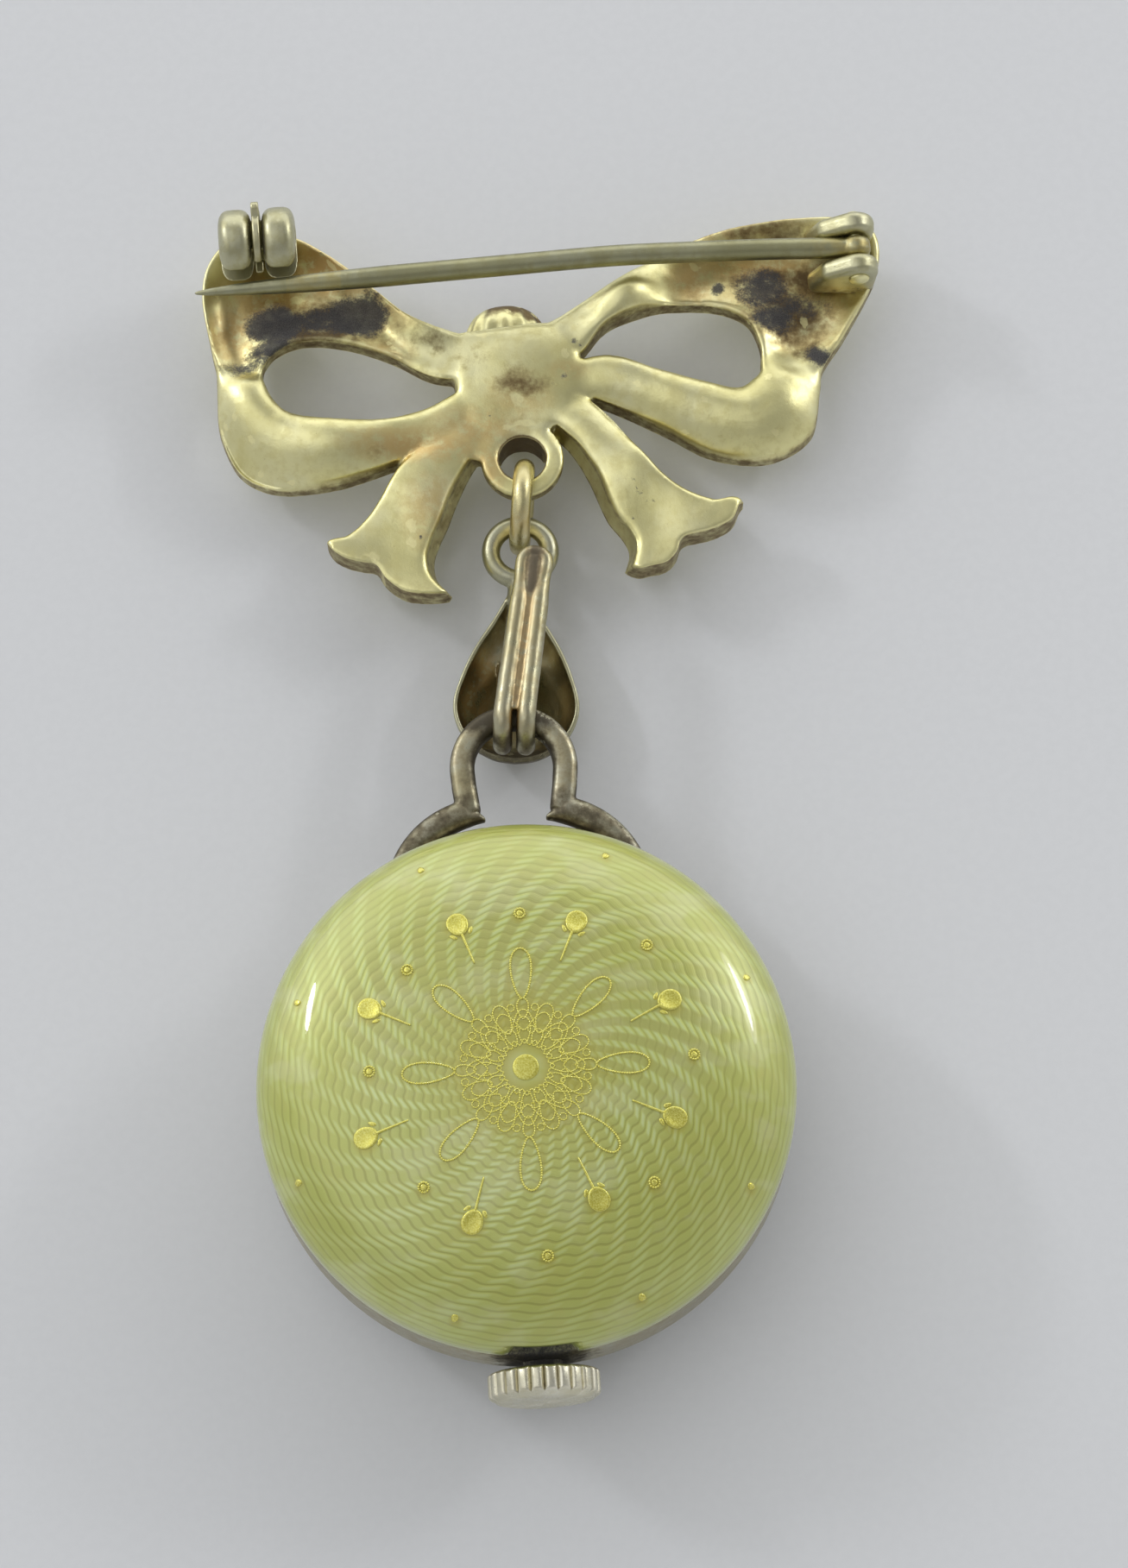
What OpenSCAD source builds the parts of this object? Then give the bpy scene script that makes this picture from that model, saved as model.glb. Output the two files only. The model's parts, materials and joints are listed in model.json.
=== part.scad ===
// A chatelaine watch pin, lying on its face as it was photographed.
// A cast ribbon bow carries the pin and its safety catch on the back.
// A jump ring, a hollow pear drop and its doubled-wire hook carry the ball-backed watch.
// Units are millimetres, +Z is up, +Y runs from the crown to the bow.

/* [Bow] */
// Width of the bow, from the left loop to the right loop
bow_w = 35.3; // [33:0.1:38]
// Height of the bow, from the tips of the tails to the top of the loops
bow_h = 20.8; // [19.5:0.1:22.5]
// Depth of the bow, from the front of the knot to the flat of its back
bow_t = 4.0; // [3.7:0.1:4.6]
// Thickness of the metal in the two loops
loop_t = 1.6; // [1:0.1:1.9]
// Thickness of the metal in the tails and under the knot
tail_t = 2.0; // [1.4:0.1:2.4]
// Turn of the bow on the surface, in degrees
bow_turn = 4.2; // [0:0.1:8]
// Width of the knot on the front of the bow
knot_w = 4.8; // [4:0.1:5.6]
// Number of pleats on the knot
knot_pleats = 7; // [5:1:9]
// Depth of the pleats on the knot
pleat_depth = 0.16; // [0.05:0.01:0.25]

/* [Eye of the bow] */
// Radius of the hole that the jump ring hangs in
eye_hole_r = 1.19; // [1.1:0.01:1.3]
// Width of the metal round that hole
eye_rim = 0.92; // [0.7:0.01:0.95]
// Thickness of the eye
eye_t = 0.9; // [0.7:0.05:1]

/* [Pin and hinge] */
// Height of the pin's centre line over the surface
pin_z = 5.0; // [4.9:0.05:5.4]
// Radius of the pin stem
pin_r = 0.55; // [0.45:0.01:0.58]
// Length of the pin stem, from the hinge to its point
pin_len = 34.2; // [33.5:0.1:36]
// Length of the slow taper to the point
pin_point = 10.0; // [6:0.5:12]
// Radius of the pin's round head
head_r = 0.75; // [0.7:0.05:0.9]
// Length of that head along the hinge
head_len = 1.1; // [1:0.05:1.4]
// Thickness of each hinge ear
ear_t = 1.1; // [0.8:0.05:1.2]
// Radius of the ears round the rivet
ear_r = 1.05; // [0.95:0.05:1.3]
// Radius of the hinge rivet
rivet_r = 0.32; // [0.25:0.01:0.4]

/* [Safety catch] */
// Outer radius of the catch
catch_r = 1.75; // [1.65:0.05:1.9]
// Width of the catch along the pin
catch_w = 3.95; // [3.2:0.05:4.1]
// Radius of the hollow that holds the pin
catch_hole_r = 0.66; // [0.6:0.01:0.7]
// Height of the catch's mouth
catch_mouth = 1.3; // [1.15:0.05:1.35]
// Thickness of the turning lever
lever_t = 0.4; // [0.3:0.05:0.5]
// Gap on each side of the lever in its slot
lever_gap = 0.08; // [0.06:0.01:0.1]
// Thickness of the sleeve that the lever turns on
sleeve_t = 0.36; // [0.3:0.01:0.4]
// Reach of the lever's thumb tab, from the middle of the catch
tab_reach = 2.2; // [2.1:0.05:2.7]
// Direction of the tab with the catch open, above the horizontal
tab_rise = 50; // [40:1:60]

/* [Jump ring] */
// Radius of the jump ring's wire
jump_wire_r = 0.52; // [0.45:0.01:0.55]
// Radius of the jump ring to the middle of its wire
jump_r = 1.98; // [1.94:0.01:2.1]
// Turn of the jump ring about the vertical
jump_turn = -4; // [-6:0.5:4]

/* [Pear drop] */
// Radius of the drop's ring to the middle of its wire
drop_ring_r = 1.48; // [1.44:0.01:1.6]
// Radius of the wire of the drop's ring
drop_wire_r = 0.48; // [0.4:0.01:0.5]
// Length of the pear, from its neck to its round end
pear_len = 9.1; // [8.4:0.1:9.8]
// Widest width of the pear
pear_w = 6.4; // [5.8:0.1:7]
// Depth of the pear, from its front to its rim
pear_depth = 2.4; // [2.1:0.1:2.8]
// Thickness of the pear's wall
pear_wall = 0.45; // [0.35:0.05:0.6]
// Turn of the drop, which hangs a little to the left
drop_turn = -1.3; // [-4:0.1:0]

/* [Wire hook] */
// Radius of the hook's wire
hook_wire_r = 0.48; // [0.4:0.01:0.5]
// Distance between the two wires at the watch
hook_spread = 1.15; // [1.05:0.01:1.25]
// Distance between the two wires at the free end
hook_pinch = 1.0; // [0.98:0.01:1.04]
// Length of the hook's straight wires
hook_len = 8.3; // [7.5:0.1:10]
// Lean of the straight wires to the right
hook_lean = 5.5; // [0:0.5:8]
// Place of the hook beside the middle line of the drop
hook_side = 0; // [-0.2:0.05:0.3]
// Fall of the straight wires towards the free end
hook_fall = 4; // [0:0.5:5]

/* [Watch] */
// Diameter of the watch case
case_d = 26.0; // [25:0.1:28]
// Height of the case band
case_h = 4.0; // [3.8:0.1:4.6]
// Thickness of the case band
case_wall = 0.9; // [0.7:0.05:1.1]
// Height of the domed enamel back
dome_h = 4.4; // [4:0.1:5]
// Thickness of the enamelled back
dome_t = 0.9; // [0.7:0.05:1.2]
// Squareness of the dome's shoulder, from 2 for an ellipse upwards
dome_power = 2.45; // [2:0.05:3]
// Width of the notch in the back, over the crown
notch_w = 3.0; // [2.4:0.1:3.6]
// Depth of that notch
notch_depth = 0.4; // [0.2:0.05:0.6]
// Height of the bezel
bezel_h = 1.8; // [1.6:0.1:2.2]
// Rise of the crystal beyond the bezel
crystal_rise = 1.4; // [1.2:0.1:1.8]
// Width of the bezel round the crystal
bezel_w = 2.5; // [2:0.1:3]
// Flat middle of the crystal, as a share of its radius
crystal_flat = 0.72; // [0.6:0.01:0.8]
// Thickness of the crystal
crystal_t = 0.7; // [0.5:0.05:0.9]
// Turn of the watch on the surface
watch_turn = 2.4; // [0:0.1:5]

/* [Watch bail] */
// Radius of the bail's wire
bail_wire_r = 0.63; // [0.5:0.01:0.65]
// Radius of the bail's arch to the middle of its wire
bail_r = 2.57; // [2.45:0.01:2.7]
// Distance from the case to the middle of the arch
bail_reach = 3.65; // [3.2:0.05:4]
// Distance of the arch's top beside the middle line of the drop
bail_side = 0.15; // [0:0.05:0.3]
// Height of the bail's feet over the case, at their inner ends
foot_gap = 1.0; // [0.5:0.05:1.1]
// Thickness of the bail's feet
foot_t = 1.3; // [0.9:0.05:1.4]
// Height of the feet along the case band
foot_h = 1.3; // [1:0.05:1.6]

/* [Crown] */
// Diameter of the crown
crown_d = 5.4; // [4.8:0.1:5.8]
// Length of the fluted part of the crown
crown_len = 1.25; // [1.1:0.05:1.7]
// Rise of the crown's domed end
crown_dome = 0.25; // [0.2:0.05:0.5]
// Number of flutes
flutes = 24; // [20:1:30]
// Depth of the flutes
flute_depth = 0.22; // [0.1:0.01:0.3]
// Gap between the case and the crown
crown_gap = 0.45; // [0.4:0.05:0.6]
// Turn of the crown round the case, from the point opposite the bail
crown_side = 1.1; // [0:0.1:2]
// Radius of the winding stem
stem_r = 0.45; // [0.35:0.01:0.5]

/* [Dial and hands] */
// Gap between the dial's edge and the inside of the band
dial_edge = 0.8; // [0.6:0.05:1]
// Thickness of the dial
dial_t = 0.35; // [0.25:0.05:0.45]
// Length of the minute hand, as a share of the dial's radius
minute_share = 0.725; // [0.6:0.005:0.76]
// Length of the hour hand, as a share of the dial's radius
hour_share = 0.495; // [0.4:0.005:0.54]
// Thickness of the hands
hand_t = 0.18; // [0.12:0.01:0.22]
// Radius of the post that carries the hands
post_r = 0.34; // [0.25:0.01:0.4]

/* [Fits] */
// Radial running fit of pins and shafts
run_fit = 0.04; // [0.02:0.01:0.06]
// Gap between pieces that lie in each other
piece_gap = 0.06; // [0.04:0.01:0.1]
// Clear space between linked wires
link_gap = 0.1; // [0.06:0.01:0.12]

/* [Hidden] */
$fn = 64;

// Ribbon tables: a row for each section across the ribbon, from root to end.
// out_x, out_y and in_x, in_y are the two edges, x in shares of bow_w, y of bow_h.
// out_z, in_z and camber are shares of bow_t: the back at the two edges, and the
// rise (or, below 0, the trough) in the middle. thick is a share of the metal's thickness.
// Left loop: the upper arm is a trough, the ribbon folds, the lower arm is rounded.
left_loop = [
    // out_x, out_y, in_x, in_y, out_z, in_z, camber, thick
    [-0.045, 0.338, -0.040, 0.222, 0.90, 0.90, 0.00, 1.0],
    [-0.090, 0.351, -0.072, 0.220, 0.97, 0.97, 0.02, 1.0],
    [-0.153, 0.404, -0.125, 0.237, 1.00, 0.98, -0.06, 1.0],
    [-0.229, 0.532, -0.178, 0.293, 0.97, 0.96, -0.20, 1.0],
    [-0.306, 0.634, -0.246, 0.341, 0.93, 0.95, -0.24, 1.0],
    [-0.382, 0.664, -0.306, 0.355, 0.90, 0.95, -0.25, 1.0],
    [-0.433, 0.605, -0.346, 0.334, 0.90, 0.95, -0.25, 1.0],
    [-0.452, 0.502, -0.365, 0.296, 0.91, 0.95, -0.24, 0.9],
    [-0.442, 0.345, -0.369, 0.277, 0.92, 0.94, -0.20, 0.9],
    [-0.437, 0.290, -0.369, 0.265, 0.84, 0.93, -0.02, 1.0],
    [-0.438, 0.230, -0.366, 0.249, 0.80, 0.93, 0.13, 1.0],
    [-0.436, 0.130, -0.358, 0.214, 0.72, 0.93, 0.20, 0.9],
    [-0.410, 0.028, -0.340, 0.175, 0.68, 0.94, 0.21, 0.8],
    [-0.354, -0.022, -0.314, 0.153, 0.70, 0.95, 0.18, 0.8],
    [-0.278, -0.024, -0.258, 0.134, 0.78, 0.97, 0.13, 0.8],
    [-0.210, 0.000, -0.193, 0.130, 0.86, 0.98, 0.08, 0.9],
    [-0.144, 0.039, -0.133, 0.151, 0.93, 0.98, 0.04, 1.0],
    [-0.088, 0.094, -0.078, 0.194, 0.96, 0.97, 0.03, 1.0],
    [-0.045, 0.120, -0.042, 0.195, 0.90, 0.90, 0.00, 1.0]];

// Right loop, with the broad trough that carries the hinge
right_loop = [
    // out_x, out_y, in_x, in_y, out_z, in_z, camber, thick
    [0.020, 0.343, 0.040, 0.242, 0.90, 0.90, 0.00, 1.0],
    [0.066, 0.368, 0.092, 0.262, 0.97, 0.97, 0.02, 1.0],
    [0.142, 0.444, 0.136, 0.334, 0.98, 1.00, 0.03, 1.0],
    [0.222, 0.518, 0.201, 0.375, 0.96, 0.98, -0.06, 1.0],
    [0.306, 0.571, 0.249, 0.380, 0.95, 0.97, -0.15, 1.0],
    [0.402, 0.595, 0.297, 0.372, 0.95, 0.96, -0.22, 1.0],
    [0.493, 0.590, 0.331, 0.347, 0.95, 0.96, -0.25, 1.0],
    [0.543, 0.545, 0.348, 0.318, 0.95, 0.96, -0.25, 1.0],
    [0.541, 0.437, 0.357, 0.275, 0.93, 0.96, -0.25, 1.0],
    [0.490, 0.290, 0.360, 0.243, 0.90, 0.95, -0.20, 1.0],
    [0.450, 0.197, 0.358, 0.215, 0.83, 0.94, -0.02, 1.0],
    [0.442, 0.136, 0.356, 0.190, 0.80, 0.94, 0.10, 1.0],
    [0.424, 0.030, 0.344, 0.172, 0.72, 0.94, 0.20, 0.9],
    [0.360, -0.028, 0.320, 0.152, 0.70, 0.95, 0.22, 0.8],
    [0.280, -0.008, 0.275, 0.174, 0.74, 0.97, 0.18, 0.9],
    [0.207, 0.066, 0.210, 0.212, 0.80, 0.98, 0.13, 1.0],
    [0.142, 0.129, 0.147, 0.255, 0.88, 1.00, 0.08, 1.1],
    [0.086, 0.160, 0.098, 0.252, 0.94, 0.97, 0.03, 1.0],
    [0.045, 0.150, 0.050, 0.225, 0.90, 0.90, 0.00, 1.0]];

// Left tail; its last rows run past the swallow-tail cut
left_tail = [
    // out_x, out_y, in_x, in_y, out_z, in_z, camber, thick
    [-0.060, 0.200, -0.010, 0.165, 0.88, 0.88, 0.00, 0.9],
    [-0.090, 0.135, -0.034, 0.100, 0.92, 0.95, 0.02, 0.9],
    [-0.142, 0.060, -0.054, 0.055, 0.94, 0.96, 0.04, 0.9],
    [-0.184, -0.005, -0.078, 0.000, 0.97, 0.97, 0.04, 0.9],
    [-0.214, -0.086, -0.104, -0.072, 0.96, 0.96, 0.03, 1.0],
    [-0.236, -0.133, -0.122, -0.140, 0.96, 0.96, 0.02, 1.0],
    [-0.263, -0.167, -0.138, -0.193, 0.96, 0.96, 0.02, 1.0],
    [-0.292, -0.180, -0.146, -0.240, 0.97, 0.97, 0.01, 1.0],
    [-0.300, -0.245, -0.140, -0.290, 0.98, 0.98, 0.01, 1.0],
    [-0.290, -0.370, -0.110, -0.350, 0.98, 0.98, 0.01, 1.0]];

// Right tail, likewise
right_tail = [
    // out_x, out_y, in_x, in_y, out_z, in_z, camber, thick
    [0.060, 0.215, 0.010, 0.180, 0.88, 0.88, 0.00, 0.9],
    [0.100, 0.155, 0.034, 0.120, 0.95, 0.95, 0.02, 0.9],
    [0.132, 0.095, 0.056, 0.080, 0.97, 0.97, 0.06, 0.9],
    [0.152, 0.048, 0.082, 0.030, 0.98, 0.98, 0.06, 0.9],
    [0.180, -0.010, 0.106, -0.045, 0.97, 0.97, 0.04, 1.0],
    [0.206, -0.068, 0.119, -0.112, 0.97, 0.97, 0.03, 1.0],
    [0.236, -0.112, 0.130, -0.160, 0.97, 0.97, 0.02, 1.0],
    [0.275, -0.140, 0.148, -0.206, 0.97, 0.97, 0.01, 1.0],
    [0.315, -0.150, 0.154, -0.250, 0.98, 0.98, 0.01, 1.0],
    [0.325, -0.320, 0.138, -0.330, 0.98, 0.98, 0.01, 1.0]];

// Middle of the bow, from the eye up to the top edge
middle = [
    // out_x, out_y, in_x, in_y, out_z, in_z, camber, thick
    [-0.050, 0.072, 0.046, 0.076, 0.98, 0.98, 0.00, 1.0],
    [-0.082, 0.120, 0.075, 0.135, 0.99, 0.99, 0.02, 1.0],
    [-0.090, 0.200, 0.100, 0.215, 1.00, 1.00, 0.03, 1.0],
    [-0.090, 0.285, 0.086, 0.300, 1.00, 1.00, 0.03, 1.0],
    [-0.078, 0.343, 0.052, 0.356, 0.99, 0.99, 0.00, 1.0]];

// Swallow-tail cuts, x and y in the same shares, from the outer tip to the inner one
left_cut = [[-0.292, -0.178], [-0.281, -0.207], [-0.262, -0.229], [-0.240, -0.241],
            [-0.221, -0.250], [-0.209, -0.286], [-0.184, -0.322], [-0.152, -0.334],
            [-0.124, -0.334], [-0.112, -0.326]];
right_cut = [[0.309, -0.152], [0.298, -0.190], [0.281, -0.209], [0.258, -0.223],
             [0.223, -0.234], [0.212, -0.269], [0.196, -0.294], [0.168, -0.303],
             [0.156, -0.305], [0.140, -0.296]];

// Across a ribbon: place between its edges, and drop of its rounded edges in shares
ribbon_profile = [[-1, 0.20], [-0.94, 0.05], [-0.6, 0], [-0.2, 0],
                  [0.2, 0], [0.6, 0], [0.94, 0.05], [1, 0.20]];
// Sections drawn between two rows of a table
ribbon_steps = 2;

// Outline of the pear: height in shares of its length, half-width in shares of its width
pear_outline = [[1.00, 0.00], [0.985, 0.085], [0.93, 0.13], [0.82, 0.215], [0.68, 0.335],
                [0.53, 0.43], [0.35, 0.50], [0.21, 0.465], [0.09, 0.345], [0.02, 0.175],
                [0.00, 0.00]];

eye_r = eye_hole_r + eye_rim;
eye_z = bow_t - 0.72 * eye_t;
hinge_x = 0.509 * bow_w;
hinge_y = 0.473 * bow_h;
catch_x = -0.363 * bow_w;
catch_y = 0.6 * bow_h;
slot_w = lever_t + 2 * lever_gap;
sleeve_r = catch_hole_r + sleeve_t;
lever_r = 0.93 * catch_r;
knot_len = 0.38 * bow_h;
knot_y = 0.255 * bow_h;
knot_x = -0.01 * bow_w;

// The chain hangs from the middle of the eye, down the -Y side
jump_fall = 0.22 * eye_t;
drop_fall = 1.04 * drop_wire_r;
jump_z = eye_z - jump_fall;
jump_in = jump_r - jump_wire_r - link_gap / 2;
jump_y = -(eye_hole_r + sqrt(pow(jump_in, 2) - pow(eye_t / 2 + jump_fall, 2)));
drop_z = jump_z - drop_fall;
drop_bar_y = jump_y - sqrt(pow(jump_in - drop_wire_r, 2) - pow(drop_fall, 2));
drop_y = drop_bar_y - drop_ring_r;
pear_top = drop_y - drop_ring_r - 1.2 * drop_wire_r;
pear_bottom = pear_top - pear_len;

crystal_z = crystal_rise;
lip_z = crystal_z + 0.3 * bezel_h;
case_z = crystal_rise + bezel_h;
back_z = case_z + case_h;
case_r = case_d / 2;
band_r = case_r - case_wall;
dial_r = band_r - dial_edge;
crystal_r = case_r - bezel_w;
crystal_flat_r = crystal_flat * crystal_r;
seat_r = crystal_r + 0.3 * bezel_w;
stem_z = case_z + case_h / 2;
dial_z = case_z + dial_t;
hour_z = dial_z - 4.2 * hand_t;
minute_z = hour_z - 2.8 * hand_t;

// The hook's curl holds the middle of the bail's arch
curl_r = bail_wire_r + hook_wire_r + 1.4 * link_gap;
bail_y = pear_bottom + 0.16 * pear_len;
bail_dist = case_r + bail_reach + bail_r;
// The curl sits a little down the arch, where its farther wire clears the arch's bend
curl_side = hook_side + bail_side + hook_spread / 2;
curl_room = bail_r - bail_wire_r - hook_wire_r - link_gap / 2;
curl_y = bail_y - bail_r + curl_r + sqrt(pow(curl_room, 2) - pow(curl_side, 2));
hang = rot2([-bail_side, bail_y], drop_turn);
watch_xy = hang + rot2([0, -bail_dist], watch_turn);

crown_in = case_r + crown_gap;
crown_end = crown_in + crown_len + crown_dome;
stem_in = 0.68 * case_r;

// Middle of the whole jewel's outline, which the model's origin is under
pin_tip = rot2([hinge_x - pin_len, hinge_y - 0.002 * bow_h], bow_turn);
right_end = rot2([0.545 * bow_w, 0.5 * bow_h], bow_turn);
top_end = rot2([0.493 * bow_w, 0.597 * bow_h], bow_turn);
crown_tip = watch_xy + rot2([0, -crown_end], watch_turn + crown_side);
middle_x = (pin_tip[0] + right_end[0]) / 2;
middle_y = (top_end[1] + crown_tip[1]) / 2;

// A point turned by an angle about the origin
function rot2(p, a) = [p[0] * cos(a) - p[1] * sin(a), p[0] * sin(a) + p[1] * cos(a)];

// Smooth curve through the rows of a table
function curve(rows, i, t) =
    let (n = len(rows) - 1, a = rows[max(i - 1, 0)], b = rows[i],
         c = rows[min(i + 1, n)], d = rows[min(i + 2, n)])
    0.5 * (2 * b + (c - a) * t + (2 * a - 5 * b + 4 * c - d) * t * t
           + (3 * b - a - 3 * c + d) * t * t * t);

function smooth_rows(rows, steps) =
    concat([for (i = [0 : len(rows) - 2]) for (s = [0 : steps - 1]) curve(rows, i, s / steps)],
           [rows[len(rows) - 1]]);

// One ring of points round a ribbon's section: its back, then its front.
// A flare lets the inner side lean outwards from the back to the front.
function ribbon_ring(row, t, flare) =
    let (out = [row[0] * bow_w, row[1] * bow_h, row[4] * bow_t],
         inn = [row[2] * bow_w, row[3] * bow_h, row[5] * bow_t],
         back = [for (p = ribbon_profile)
             out + (inn - out) * (p[0] + 1) / 2
                 + [0, 0, row[6] * bow_t * (1 - p[0] * p[0]) - p[1] * t]],
         wider = 1 + flare / norm(inn - out),
         front = [for (p = ribbon_profile)
             out + (inn - out) * wider * (p[0] + 1) / 2
                 + [0, 0, row[6] * bow_t * (1 - p[0] * p[0]) + p[1] * t - t * row[7]]])
    concat(back, [for (i = [len(front) - 1 : -1 : 0]) front[i]]);

// Six times the volume in a closed set of faces, below 0 where they are inside out
function signed_volume(points, faces) =
    let (v = [for (f = faces) for (k = [1 : len(f) - 2])
             cross(points[f[0]], points[f[k]]) * points[f[k + 1]]])
    v * [for (x = v) 1];

// A closed skin over rings of equal length, with flat ends
module skin(rings) {
    n = len(rings[0]);
    m = len(rings);
    points = [for (r = rings) for (p = r) p];
    sides = [for (i = [0 : m - 2]) for (j = [0 : n - 1]) for (half = [0, 1])
        let (a = i * n + j, b = i * n + (j + 1) % n)
        half == 0 ? [a, b, b + n] : [a, b + n, a + n]];
    first = [for (j = [n - 1 : -1 : 0]) j];
    last = [for (j = [0 : n - 1]) (m - 1) * n + j];
    faces = concat(sides, [first], [last]);
    turned = signed_volume(points, faces) > 0
        ? [for (f = faces) [for (k = [len(f) - 1 : -1 : 0]) f[k]]] : faces;
    polyhedron(points = points, faces = turned, convexity = 6);
}

module ribbon(rows, t, flare = 0) {
    skin([for (row = smooth_rows(rows, ribbon_steps)) ribbon_ring(row, t, flare)]);
}

// What is taken off the end of a tail, up to the swallow-tail line
module tail_cut(line) {
    edge = [for (p = smooth_rows(line, ribbon_steps)) [p[0] * bow_w, p[1] * bow_h]];
    first = edge[0];
    last = edge[len(edge) - 1];
    beyond = 0.1 * bow_w * sign(first[0] - last[0]);
    far = -0.5 * bow_h;
    translate([0, 0, -bow_t])
        linear_extrude(height = 3 * bow_t)
            polygon(concat(edge, [[last[0] - beyond, last[1]], [last[0] - beyond, far],
                                  [first[0] + beyond, far], [first[0] + beyond, first[1]]]));
}

module tail(rows, line, flare) {
    difference() {
        ribbon(rows, tail_t, flare);
        tail_cut(line);
    }
}

// The pleated knot on the front, a flattened barrel that stands on the surface
module knot() {
    rows = 10;
    around = 42;
    depth = 0.8 * bow_t;
    skin([for (i = [0 : rows])
        let (v = -0.97 + 1.94 * i / rows, s = pow(1 - pow(abs(v), 2.8), 1 / 2.8))
        [for (j = [around - 1 : -1 : 0])
            let (a = 360 * j / around,
                 lap = 1 - pleat_depth * s / knot_w * (1 + cos(2 * knot_pleats * a)))
            [knot_x + lap * s * knot_w / 2 * cos(a), knot_y + v * knot_len / 2,
             depth / 2 + lap * depth / 2 * s * sin(a)]]]);
}

// The cast ribbon bow before its fittings, brought to its full width and height
module casting() {
    resize([bow_w, bow_h, 0]) {
        ribbon(left_loop, loop_t);
        ribbon(right_loop, loop_t);
        tail(left_tail, left_cut, 0.3);
        tail(right_tail, right_cut, 0.4);
        ribbon(middle, tail_t);
        knot();
    }
}

// One ear of the hinge, with its foot on the back of the bow
module ear(y) {
    translate([hinge_x, y, 0])
        rotate([90, 0, 0])
            difference() {
                linear_extrude(height = ear_t, center = true)
                    hull() {
                        translate([0, pin_z])
                            circle(r = ear_r);
                        translate([-2 * ear_r, 0.9 * bow_t])
                            circle(r = 0.4 * ear_r);
                        translate([0.45 * ear_r, 0.75 * bow_t])
                            circle(r = 0.4 * ear_r);
                    }
                translate([0, pin_z, 0])
                    cylinder(r = rivet_r + run_fit, h = 2 * ear_t, center = true);
            }
}

// Half the profile of the round catch: radius against place along the pin
function catch_profile(r, w) =
    let (round = 0.25 * w)
    concat([[0, -w / 2]],
           [for (a = [-90 : 15 : 0]) [r - round + round * cos(a), -w / 2 + round + round * sin(a)]],
           [for (a = [0 : 15 : 90]) [r - round + round * cos(a), w / 2 - round + round * sin(a)]],
           [[0, w / 2]]);

// Lays a thing drawn round +Z along the pin, in the middle of the catch
module at_catch() {
    translate([catch_x, catch_y, pin_z])
        rotate([0, 90, 0])
            children();
}

module mouth_cut(w) {
    translate([catch_x - w / 2, catch_y - 2 * catch_r, pin_z - catch_mouth / 2])
        cube([w, 2 * catch_r, catch_mouth]);
}

// The round catch on two short feet, hollow for the pin and slotted for the lever
module catch_body() {
    foot_w = (catch_w - slot_w) / 2 - lever_t;
    foot_z = 0.6 * bow_t;
    foot_top = pin_z - catch_hole_r - sleeve_t;
    difference() {
        union() {
            at_catch()
                rotate_extrude()
                    polygon(catch_profile(catch_r, catch_w));
            for (side = [-1, 1])
                translate([catch_x + side * (slot_w + foot_w) / 2, catch_y,
                           (foot_z + foot_top) / 2])
                    cube([foot_w, catch_r, foot_top - foot_z], center = true);
        }
        at_catch()
            cylinder(r = catch_hole_r, h = 2 * catch_w, center = true);
        at_catch()
            difference() {
                cylinder(r = 2 * catch_r, h = slot_w, center = true);
                cylinder(r = sleeve_r, h = 2 * slot_w, center = true);
            }
        mouth_cut(2 * catch_w);
    }
}

// The flat ring at the foot of the bow
module eye() {
    translate([0, 0, eye_z])
        difference() {
            cylinder(r = eye_r, h = eye_t, center = true);
            cylinder(r = eye_hole_r, h = 2 * eye_t, center = true);
        }
}

module bow() {
    color("#b9ad6c")
        in_place(bow_turn) {
            casting();
            eye();
            ear(hinge_y + head_len / 2 + piece_gap + ear_t / 2);
            ear(hinge_y - head_len / 2 - piece_gap - ear_t / 2);
            catch_body();
        }
}

// Puts a thing drawn round the eye of the bow into the jewel's frame
module in_place(turn) {
    translate([-middle_x, -middle_y, 0])
        rotate([0, 0, turn])
            children();
}

// A round bar along the hinge
module hinge_bar(r, l) {
    translate([hinge_x, hinge_y, pin_z])
        rotate([90, 0, 0])
            cylinder(r = r, h = l, center = true);
}

// The rivet fills the ears' bores and ends in two low round heads
module hinge_rivet() {
    span = head_len + 2 * piece_gap + 2 * ear_t;
    color("#c8bd84")
        in_place(bow_turn) {
            hinge_bar(rivet_r, span + rivet_r);
            for (side = [-1, 1])
                translate([hinge_x, hinge_y + side * (span / 2 + piece_gap), pin_z])
                    rotate([-90 * side, 0, 0])
                        cylinder(r1 = 1.7 * rivet_r, r2 = 1.2 * rivet_r, h = 0.7 * rivet_r);
        }
}

// A round bar from point to point
module bar(from, to, r1, r2) {
    d = to - from;
    l = norm(d);
    translate(from)
        rotate([0, acos(d[2] / l), atan2(d[1], d[0])])
            cylinder(r1 = r1, r2 = r2, h = l);
}

// Fills the wedge where two round bars meet at an angle
module elbow(at, r, poles = [0, 0, 0]) {
    translate(at)
        rotate(poles)
            sphere(r = 1.03 * r);
}

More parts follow.
